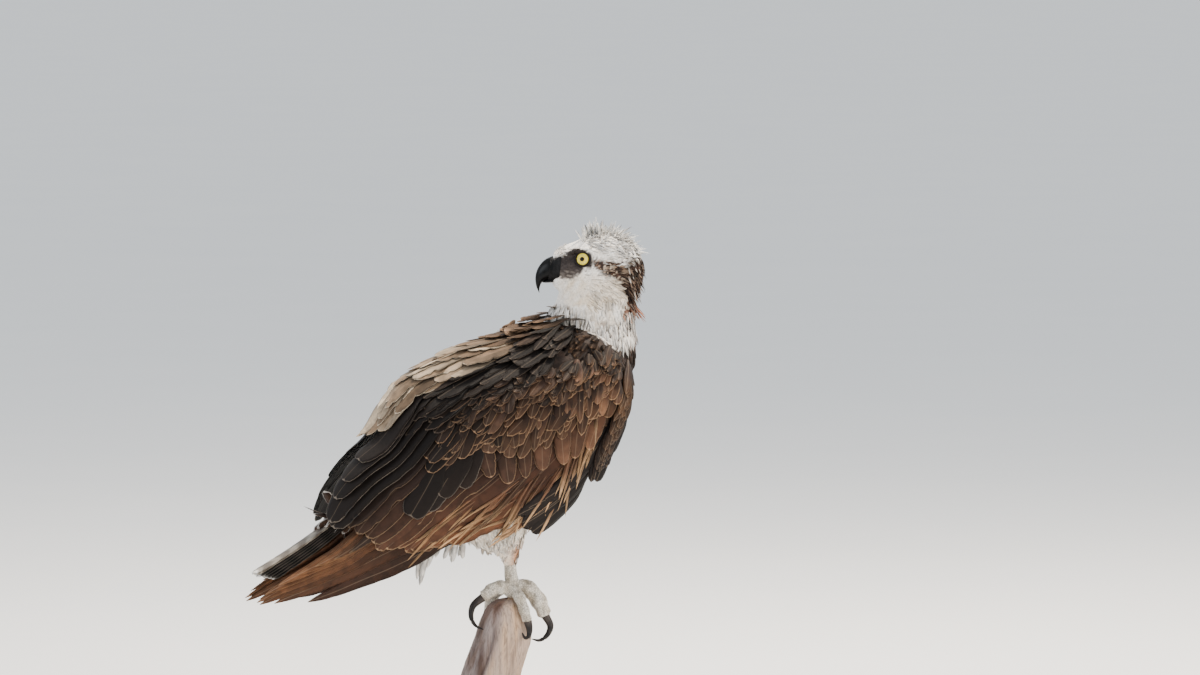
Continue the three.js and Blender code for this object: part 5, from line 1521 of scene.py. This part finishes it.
def nape_tufts(coat):
    """Longer dark and reddish feathers that hang and stand out from the nape."""
    count = 320
    z = 3 - 55 * chance.random(count)
    turn = np.clip(chance.normal(size=count) * 0.5, -1.0, 1.0)
    neck_x = np.where(z > -34, 46.0 - 0.012 * (z + 10) ** 2, 39.0)
    place = head_point(-neck_x * np.cos(turn * 0.8) + 1.5, 26 * np.sin(turn), z)
    normal = unit(-HEAD_X * np.cos(turn)[:, None] + HEAD_Y * np.sin(turn)[:, None] + 0.05 * UP)
    length = 10 + 8 * chance.random(count)
    rise = 24 + 14 * chance.random(count)
    lie = -UP - 0.25 * HEAD_X * np.ones((count, 1))
    share = chance.random(count)
    tint = shade("#140b08", "#20130e", "#3f291f", "#a38a76")(share)
    low = ease((-38 - z) / 8)[:, None]
    tint = blended(tint, shade("#7a4a38", "#b98a72", "#ece2d8")(share), low)
    pale = (chance.random(count) < 0.14)[:, None]
    body_vanes(coat, place, normal, lie, length, 3.6, rise, 200.0, tint, head_bake(place),
               stations=7, tip=0.15, root=0.8, stir=16, thick=0.5, droop=0.2, power=1.3,
               tip_colour=np.where(pale, linear("#e9ded2"), np.clip(tint * 1.3, 0, 1)))
    count = 16
    place = head_point(-37 - 3 * chance.random(count), 12 * chance.normal(size=count) * 0.6,
                       -44 - 6 * chance.random(count))
    way = np.broadcast_to(-HEAD_X - 0.75 * UP, place.shape)
    tint = shade("#8a4f38", "#c08a70")(chance.random(count))
    body_vanes(coat, place, np.broadcast_to(unit(-HEAD_X + 0.6 * UP), place.shape), way, 19, 3.4,
               12, 200.0, tint, head_bake(place), stations=8, tip=0.1, root=0.7, stir=8,
               tip_colour=np.clip(tint * 1.2, 0, 1), droop=0.1)


def neck_coat(part_points):
    """Long soft feathers that hang down the neck."""
    coat = Coat()
    place, normal = part_points(NECK, 3.2)
    height = place[:, 2]
    lie = -UP + 0.35 * normal * ease((400 - height) / 30)[:, None]
    tint = neck_marking(place)
    ahead = neck_marking(place - UP * 9)
    bake = neck_bake(place)
    length = 14 + 7 * ease((410 - height) / 40)
    body_vanes(coat, place, normal, lie, length, 4.2, 15, 42.0, tint, bake, stations=6,
               tip=0.3, root=0.7, stir=13, tip_colour=ahead)
    collar(coat)
    return coat


def collar(coat):
    """The frayed lower edge of the white neck, which spreads over the mantle and the breast."""
    count = 620
    turn = 2 * math.pi * chance.random(count)
    level = chance.random(count)
    x, y, a, b = np.moveaxis(along(NECK_FORM, np.full(count, 420.0)), -1, 0)
    guess = x + a * np.cos(turn)
    left = ease((80 - guess) / 25)
    z = along(COLLAR, guess)[:, 0] + 4 - 6 * left + (24 - 12 * left) * level
    x, y, a, b = np.moveaxis(along(NECK_FORM, z), -1, 0)
    out = unit(np.stack([np.cos(turn) / a, np.sin(turn) / b, 0 * turn], -1))
    place = np.stack([x + (a - 1) * np.cos(turn), y + (b - 1) * np.sin(turn), z], -1)
    spread = 0.6 * ease((0.2 - np.cos(turn)) / 0.6) * (1 - 0.7 * level)
    way = -UP + spread[:, None] * out
    normal = unit(out + spread[:, None] * UP)
    fine = chance.random(count)
    dark = (fine < 0.42 - 0.3 * level)[:, None]
    tint = WHITE(chance.random(count))
    tip = np.where(dark, shade("#33211a", "#6e4a3a")(chance.random(count)), tint)
    bake = neck_bake(place)
    length = (13 + 7 * chance.random(count)) * (1 - 0.3 * level)
    body_vanes(coat, place, normal, way, length, 3.4, 12, 200.0, tint, bake, stations=7,
               tip=0.15, root=0.7, stir=14, tip_colour=tip, droop=0.3, power=1.4)


def body_coat(part_points):
    """Breast, belly, thighs, tail coverts, vent, and the small feathers of the wing's front."""
    coat = Coat()

    def open_torso(points):
        u, _, w = in_body(points)
        edge = along(WING_FORM, u)[:, 1]
        return (w < edge + 34) | (u > 112)

    # Place, gap, test, length, width, angle, roundness of the flesh and colours of each group
    groups = (
        (TORSO, 5.4, open_torso, 26, 10, 12, 60.0, belly_marking),
        (RIGHT_THIGH, 2.8, None, 15, 3.8, 7, 200.0, thigh_colour_and_painted_glow),
        (LEFT_THIGH, 4.2, None, 15, 6.5, 12, 30.0, thigh_colour_and_painted_glow),
        (TAIL, 5.0, None, 38, 14, 7, 160.0, belly_marking),
    )
    for part, gap, test, length, width, rise, rounded, tone in groups:
        place, normal = part_points(part, gap, test)
        lie = np.broadcast_to(-FORWARD - 0.25 * UP, place.shape)
        if part == RIGHT_THIGH:
            lie = np.broadcast_to(-UP + 0.15 * FORWARD, place.shape)
            length = length - 6 * ease((205 - place[:, 2]) / 25)
        if part == TAIL:
            lie = np.broadcast_to(-FORWARD, place.shape)
        tint = tone(place)
        ahead = tone(place + unit(lie) * 12)
        body_vanes(coat, place, normal, lie, length, width, rise, rounded, tint,
                   body_bake(place), stations=7, tip=0.5, root=0.6, stir=10, tip_colour=ahead,
                   fringe=WHITE(0.2)[None, None], fringe_share=0.5)

    # White vent feathers that hang below the folded wing
    count = 18
    share = chance.random(count)
    place = between([[-66, -12, 206], [-58, -10, 208], [-34, -14, 214], [-26, -16, 214]], share)
    place = place + chance.normal(size=(count, 3)) * [4, 5, 3]
    tint = WHITE(chance.random(count) * 0.6)
    length = 22 + 14 * ease((0.5 - share) / 0.2)
    body_vanes(coat, place, np.tile([[-0.3, -0.95, 0.0]], (count, 1)),
               np.tile([[-0.4, 0.0, -1.0]], (count, 1)), length, 5.5, 3, 400.0, tint,
               body_bake(place), stations=9, tip=0.3, root=0.6, stir=7, droop=0.0)

    def wrist(points):
        u, _, w = in_body(points)
        return (u > 92) | (w < along(WING_FORM, u)[:, 1] + 30)

    place, normal = part_points(WING, 4.6, wrist)
    lie = np.broadcast_to(-FORWARD - 0.6 * UP, place.shape)
    fine = speckle(place, 7, 12)
    tint = shade("#130d0b", "#211712", "#3a2a20")(fine)
    body_vanes(coat, place, normal, lie, 15, 8, 14, 60.0, tint, body_bake(place, 160),
               stations=6, tip=0.5, root=0.6, fringe=linear("#6e523a"), fringe_share=0.3)
    return coat


# Bill, eyes and lids
def bill_form(form, stations, sides, peak):
    """A loft along one half of the bill; peak moves its fullest place up or down its side."""
    run = np.linspace(0, len(form) - 1, stations)
    table = np.column_stack([np.arange(len(form)), np.array(form, float)])
    top_x, top_z, low_x, low_z, half = np.moveaxis(along(table, run), -1, 0)
    turn = around(sides)
    share = ((1 - np.cos(turn)) / 2)[None]
    belly = (np.sin(turn) * (1 + peak * np.cos(turn)))[None]
    x = blended(top_x[:, None], low_x[:, None], share)
    z = blended(top_z[:, None], low_z[:, None], share)
    return tube(head_point(x, half[:, None] * belly, z))


def make_bill(horn, bare):
    """Both halves of the bill, and the bare cere at its root with a slit nostril."""
    upper = make_piece("bill_sheath", *bill_form(BILL_FORM, 40, 40, -0.12), horn, "bill")
    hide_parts("bill_upper")
    lower = make_piece("bill_under", *bill_form(LOWER_BILL_FORM, 20, 28, 0.0), horn, "bill")
    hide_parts("bill_lower")
    rings = []
    for t in np.linspace(0, 1, 22):
        x = 36.5 + 11 * t
        top, bottom, half, square = along(HEAD_FORM, min(x, 43.7))
        close = ease((x - 42) / 4)
        culmen = 3.4 - 0.45 * max(x - 44, 0)
        top = blended(top - 1.4, culmen, close)
        half = blended(half, 9.5, close)
        bottom = -23 + 0.8 * t
        swell = 0.35 * math.sin(math.pi * t)
        y, z = oval(44, half + swell, (top - bottom) / 2 + swell, square)
        rings.append(head_point(x - 1.4 * (z / 14), y * 0.97, (top + bottom) / 2 + z))
    points, faces = tube(rings)
    x, y, z = in_head(points)
    slot_at = ((x - 45 + 0.25 * (z + 7)) / 1.4) ** 2 + ((z + 7) / 3.4) ** 2
    nostril = ease(1.3 - slot_at) * (np.abs(y) > 4)
    points = points - nostril[:, None] * np.sign(y)[:, None] * 2.2 * HEAD_Y
    cere = make_piece("cere", points, faces, bare, "bill")
    tone = shade("#080808", "#1a191a")(speckle(points, 4, 14))
    # The nostril slit is painted nearly black: painted shade inside the opening.
    paint(cere, "Pigment", tone * (1 - 0.9 * nostril[:, None]))


# Section of the ring of lids round an eye: reach from its axis, and height along it
LID_SECTION = [(6.3, 7.6), (6.5, 8.1), (6.9, 8.5), (7.4, 8.5), (7.9, 8.0), (8.4, 7.7),
               (9.2, 7.1), (10.2, 5.6), (10.6, 3.0), (7.8, 3.0), (6.8, 6.0)]


def make_eye(side, name, wet, bare):
    """One eyeball with its bulging front, and the bare lids round it."""
    centre, axis = eye_axis(side)
    radius = EYE_RADIUS - LID_GAP
    ball = [(radius * math.sin(tilt), radius * math.cos(tilt)
             + CORNEA_RISE * ease((CORNEA_EDGE - tilt) / CORNEA_EDGE))
            for tilt in np.linspace(0.02, math.pi - 0.05, 40)]
    points, faces = turned_form(ball, 0, 0, 48)
    eye = make_piece(name + "_globe", points, [f[:, ::-1] for f in faces], wet, None)
    across = unit(np.cross(UP, axis))
    basis = np.eye(4)
    basis[:3, :3] = np.column_stack([across, np.cross(axis, across), axis])
    basis[:3, 3] = centre * MM
    eye.matrix_world = Matrix(basis.tolist())
    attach(eye, "root")
    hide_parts(name)
    up = np.cross(axis, across)
    rings = []
    for angle in around(48):
        forward = math.cos(angle)
        stretch = 1 + 0.05 * abs(forward) ** 3
        heavy = 0.35 * max(math.sin(angle), 0)
        out = across * math.cos(angle) * stretch + up * math.sin(angle) * (1 - 0.03 * heavy)
        rings.append([centre + out * r + axis * (h + heavy * (r < 9.2))
                      for r, h in LID_SECTION])
    rings.append(rings[0])
    points, faces = tube(np.array(rings), caps=False)
    lids = make_piece("lids_" + name, points, faces, bare, "eye")
    reach = np.tile([r for r, h in LID_SECTION], len(rings))
    coat_share = ease((reach - 7.7) / 1.2)[:, None]
    coat_tone = head_marking(points + (points - centre) * 0.12)
    paint(lids, "Pigment", blended(linear("#1a1413"), coat_tone, coat_share))


# Feet and claws
PALM_RADIUS = 9.2
PLATE_PITCH = 3.4
CLAW_RADIUS = 4.1


def toe_shape(length):
    """Plates over a toe and gripping grit under it."""
    def shape(t, turn):
        plates = (t * length / PLATE_PITCH) % 1
        over = np.clip(np.cos(turn), 0, 1) ** 0.7
        under = np.clip(-np.cos(turn), 0, 1) ** 0.5
        grit = np.sin(t * length * 3.1) * np.sin(turn * 9)
        return 1 + 0.055 * over * (plates - 0.5) + 0.06 * under * grit + 0.03 * np.cos(turn * 2)
    return shape


def make_foot(name, tarsus, toes, claws, frame_of, up_of, skin_material, horn):
    """One shank with its four toes, and the claws as a piece of their own.

    Frame_of places a point of the tables, and up_of gives the upper side of a toe there."""
    parts = []
    shank = np.array([frame_of(p) for p in tarsus])
    parts.append(limb(shank, lambda t: 6.2 + 2.2 * t * t, 28, 40, up_of(shank[0])))
    hub = shank[-1]
    ball = [(PALM_RADIUS * math.sin(a), hub[2] - PALM_RADIUS * math.cos(a))
            for a in np.linspace(0.05, math.pi - 0.05, 18)]
    parts.append(turned_form(ball, hub[0], hub[1], 28))
    for path, radius in toes:
        points = np.array([frame_of(p) for p in path])
        length = np.linalg.norm(np.diff(points, axis=0), axis=1).sum()
        pads = [[r] for r in radius]
        curve = smooth_path(points, 70)
        up = np.array([up_of(p) for p in curve])

        def reach(t, pads=pads):
            swell = 1 + 0.08 * np.cos(2 * math.pi * 3 * t)
            return between(pads, t)[:, 0] * swell * (1 - 0.35 * ease((t - 0.93) / 0.07))
        parts.append(limb(points, reach, 32, 70, up, toe_shape(length)))
    points, faces = joined(parts)
    foot = make_piece(name, points, faces, skin_material, "foot_skin")
    tone = shade("#c4b9a7", "#e0d7c8", "#eee8dc")(speckle(points, 11, 15))
    creases = speckle(points, 4, 16)[:, None]
    paint(foot, "Pigment", tone * (0.8 + 0.2 * creases))
    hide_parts(name)
    parts, share = [], []
    sides, count = 24, 44
    for path in claws:
        points = np.array([frame_of(p) for p in path])
        points[0] += unit(points[0] - points[1]) * 1.5
        middle = points.mean(0)
        parts.append(limb(points, lambda t: CLAW_RADIUS * (1 - t) ** 0.72 + 0.28, sides, count,
                          unit(points[1] - middle),
                          lambda t, turn: 1 - 0.12 * np.abs(np.sin(turn)) ** 3))
        share.append(np.r_[np.repeat(np.linspace(0, 1, count), sides), 0, 1])
    points, faces = joined(parts)
    horn_piece = make_piece(name.replace("foot", "claws"), points, faces, horn, "claw")
    share = np.concatenate(share)
    paint(horn_piece, "Pigment", shade("#3b3431", "#181516", "#121011", "#1b1817")(share * 1.2))
    side = name.split("_")[1]
    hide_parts(*[f"claw_{side}_{k}" for k in range(1, 5)])


# Perch and stand
# Splits down the stake: turn, width and depth, and the shares of its height at their ends
SPLITS = [
    (4.35, 0.05, 0.14, 0.0, 0.75), (5.3, 0.035, 0.1, 0.2, 1.0), (3.5, 0.04, 0.12, 0.0, 0.6),
    (0.7, 0.04, 0.1, 0.1, 0.9), (2.2, 0.05, 0.12, 0.3, 1.0), (4.85, 0.02, 0.06, 0.4, 0.95),
]


def make_perch(wood):
    """The stake: a leaning, split, sea-worn post with a chipped point, painted tan where sunlight
    falls on one side.
    """
    stations, sides = 110, 120
    turn = around(sides)
    rings = []
    for z in np.linspace(45.2, 149, stations):
        x, a, b = along(PERCH_FORM, z)
        dx, dy = a * np.cos(turn), b * np.sin(turn)
        high = (z - 45) / 104
        rough = 0.02 * np.sin(turn * 6.2 + 1.5 * high) + 0.014 * np.sin(turn * 17 + 3 * high)
        rough = rough + 0.01 * np.sin(turn * 41 + 5 * np.sin(high * 7))
        for angle, wide, deep, low, top in SPLITS:
            wander = angle + 0.05 * math.sin(high * 9 + angle)
            off = (turn - wander + math.pi) % (2 * math.pi) - math.pi
            run = float(ease((high - low) / 0.12) * ease((top - high) / 0.12))
            rough = rough - deep * run * np.exp(-(off / wide) ** 2)
        chip = 0.8 * math.sin(high * 60) * ease((high - 0.8) / 0.2)
        rings.append(level_ring(x, 0, dx * (1 + rough), dy * (1 + rough),
                                z + 0.6 * chip * np.sin(turn * 5)))
    points, faces = tube(rings)
    perch = make_piece("perch_stake", points, faces, wood, "weathered_wood")
    side = np.arctan2(points[:, 1], points[:, 0] - along(PERCH_FORM, points[:, 2])[:, 0])
    # Painted sunlight: the side of the stake that faces right is painted pale tan.
    sunlit_side = ease((np.cos(side + 0.75) - 0.45) / 0.25)
    share = speckle(points * [1, 1, 0.15], 16, 17)
    high = ease((points[:, 2] - 118) / 22)[:, None]
    # Weathered grey-brown, painted darker as the shaded side of the stake.
    weathered_and_shaded = shade("#4c3a33", "#6f5c53", "#8b7f7a")(share)
    weathered_and_shaded = blended(weathered_and_shaded, shade("#4a2e22", "#6e4a38")(share), 0.6 * high)
    sunlit_tan = shade("#b99a7e", "#cfae90")(share)
    paint(perch, "Pigment", blended(weathered_and_shaded, sunlit_tan, sunlit_side[:, None]))
    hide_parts("perch")


# Moulded edge of the base: how far in from its widest, and height
BASE_EDGE = [(3, 0.0), (1.2, 0.6), (0.2, 2.0), (0, 4.0), (0.3, 6.2), (1.6, 7.6), (2.6, 8.2),
             (2.8, 9.4), (2.2, 10.6), (1.6, 12.4), (2.0, 14.6), (3.4, 16.6)]


def make_stand(walnut, steel):
    """The turned base and the rod that carries the stake, over the solids' own sizes."""
    low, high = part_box("stand_base")
    radius, top = high.x / MM, high.z / MM
    profile = [(0.1, 0.0), *((radius - inset, height) for inset, height in BASE_EDGE),
               (radius - 5.6, top - 0.2), (radius - 8, top), (0.1, top)]
    dense = []
    for first, second in zip(profile, profile[1:]):
        dense += [tuple(between([first, second], s)) for s in np.linspace(0, 1, 3)[:-1]]
    dense.append(profile[-1])
    base = make_piece("stand_base_turned", *turned_form(dense, 0, 0, 128), walnut, "base_wood")
    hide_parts("stand_base")
    low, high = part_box("stand_rod")
    middle = (low + high) / 2 / MM
    reach = (high.x - low.x) / 2 / MM
    profile = [(0.1, low.z / MM), (reach - 0.6, low.z / MM), (reach, low.z / MM + 0.6),
               (reach, middle.z), (reach, high.z / MM - 0.6), (reach - 0.6, high.z / MM),
               (0.1, high.z / MM)]
    rod = make_piece("stand_rod_drawn", *turned_form(profile, middle.x, middle.y, 64), steel,
                     "rod_steel")
    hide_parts("stand_rod")


# Build
skin = make_skin()
skin.data.materials.append(skin_finish())
surface = surface_of(skin)
paint(skin, "Pigment", marking(surface[0], part_of(surface[0])))
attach(skin, "root")
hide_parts("torso", "neck", "head", "thigh_right", "thigh_left")

covert_vane = feather_finish("Feather_Covert", 1.1, 0.9, 1.6, 0.25, 0.6)
flight_vane = feather_finish("Feather_Flight", 1.4, 1.0, 1.5, 0.35, 0.5)
soft_vane = feather_finish("Feather_Contour_Soft", 1.0, 1.2, 3.0, 0.1, 0.75)
for side_name, side_sign in (("right", 1), ("left", -1)):
    arm_coat(side_sign).made("wing_arm_feathers_" + side_name, covert_vane, "brown_plumage",
                             f"wing_{side_name}_arm")
    hand_coat(side_sign).made("wing_hand_feathers_" + side_name, flight_vane, "brown_plumage",
                              f"wing_{side_name}_hand")
tail_coat().made("tail_feathers", flight_vane, "tail_plumage", "tail")
for coat_name, small in small_coats(surface).items():
    small.made("coat_" + coat_name, soft_vane, "white_plumage")

bare_skin, horn_finish = cere_finish(), bill_finish()
make_bill(horn_finish, bare_skin)
wet_eye = eye_finish()
make_eye(1, "eye_left", wet_eye, bare_skin)
make_eye(-1, "eye_right", wet_eye, bare_skin)

foot_skin, claw_horn = foot_finish(), claw_finish()


def from_perch(point):
    """Away from the middle line of the stake."""
    x = along(PERCH_FORM, min(max(point[2], 45), 149))[0]
    return unit(np.array([point[0] - x, point[1], 0.9 * max(point[2] - 140, 4)]))


def from_fist(point):
    """Away from the middle of the closed left foot."""
    return unit(point - body_point(8, -13, -94))


make_foot("foot_right", RIGHT_TARSUS, RIGHT_TOES, RIGHT_CLAWS, np.array, from_perch, foot_skin,
          claw_horn)
make_foot("foot_left", LEFT_TARSUS, LEFT_TOES, LEFT_CLAWS, lambda p: body_point(*p), from_fist,
          foot_skin, claw_horn)
make_perch(driftwood_finish())
make_stand(base_finish(), rod_finish())


# Studio, in metres
FLOOR_REACH = 60.0
LIT_PLACE = (0.0, 0.0, 0.35)
CAMERA_TARGET = (0.1122, 0.0, 0.415)
CAMERA_AWAY = 8
CAMERA_TILT = math.radians(4)
CAMERA_LENS = 235.3
CAMERA_SENSOR = 36
CAMERA_FAR = 200
# Name, place, size, watts and colour of each soft lamp
LAMPS = [
    ("key_softbox", (0.8, 0.5, 2.4), 0.6, 150, "#fff1de"),
    ("fill_softbox", (-2.2, -1.4, 1.6), 1.8, 42, "#eef3fa"),
    ("front_softbox", (1.8, -1.6, 1.0), 1.4, 34, "#fff4e6"),
]


def make_studio():
    """A pale floor, three soft lamps and an even sky."""
    reach = FLOOR_REACH / MM
    points = np.array([[-reach, -reach, 0], [reach, -reach, 0], [reach, reach, 0],
                       [-reach, reach, 0]])
    floor = make_piece("studio_floor", points, [np.array([[0, 1, 2, 3]])], floor_finish(), None)

    for name, place, size, watts, colour in LAMPS:
        light = bpy.data.lights.new(name, "AREA")
        light.shape = "DISK"
        light.size = size
        light.energy = watts
        light.color = linear(colour)
        lit = bpy.data.objects.new(name, light)
        lit.location = place
        aim = Vector(LIT_PLACE) - Vector(place)
        lit.rotation_euler = aim.to_track_quat("-Z", "Y").to_euler()
        bpy.context.scene.collection.objects.link(lit)
    world = bpy.data.worlds.new("studio")
    world.use_nodes = True
    sky = world.node_tree.nodes["Background"]
    wire(world.node_tree, sky, {"Color": linear("#e9eef3"), "Strength": 1.15})
    bpy.context.scene.world = world


def make_camera():
    """The camera at the photograph's angle, with a long lens."""
    lens = bpy.data.cameras.new("camera")
    lens.lens = CAMERA_LENS
    lens.sensor_width = CAMERA_SENSOR
    lens.clip_end = CAMERA_FAR
    camera = bpy.data.objects.new("camera", lens)
    target = Vector(CAMERA_TARGET)
    back = Vector((0, -math.cos(CAMERA_TILT), math.sin(CAMERA_TILT)))
    camera.location = target + CAMERA_AWAY * back
    camera.rotation_euler = (target - camera.location).to_track_quat("-Z", "Y").to_euler()
    bpy.context.scene.collection.objects.link(camera)
    bpy.context.scene.camera = camera


make_studio()
make_camera()
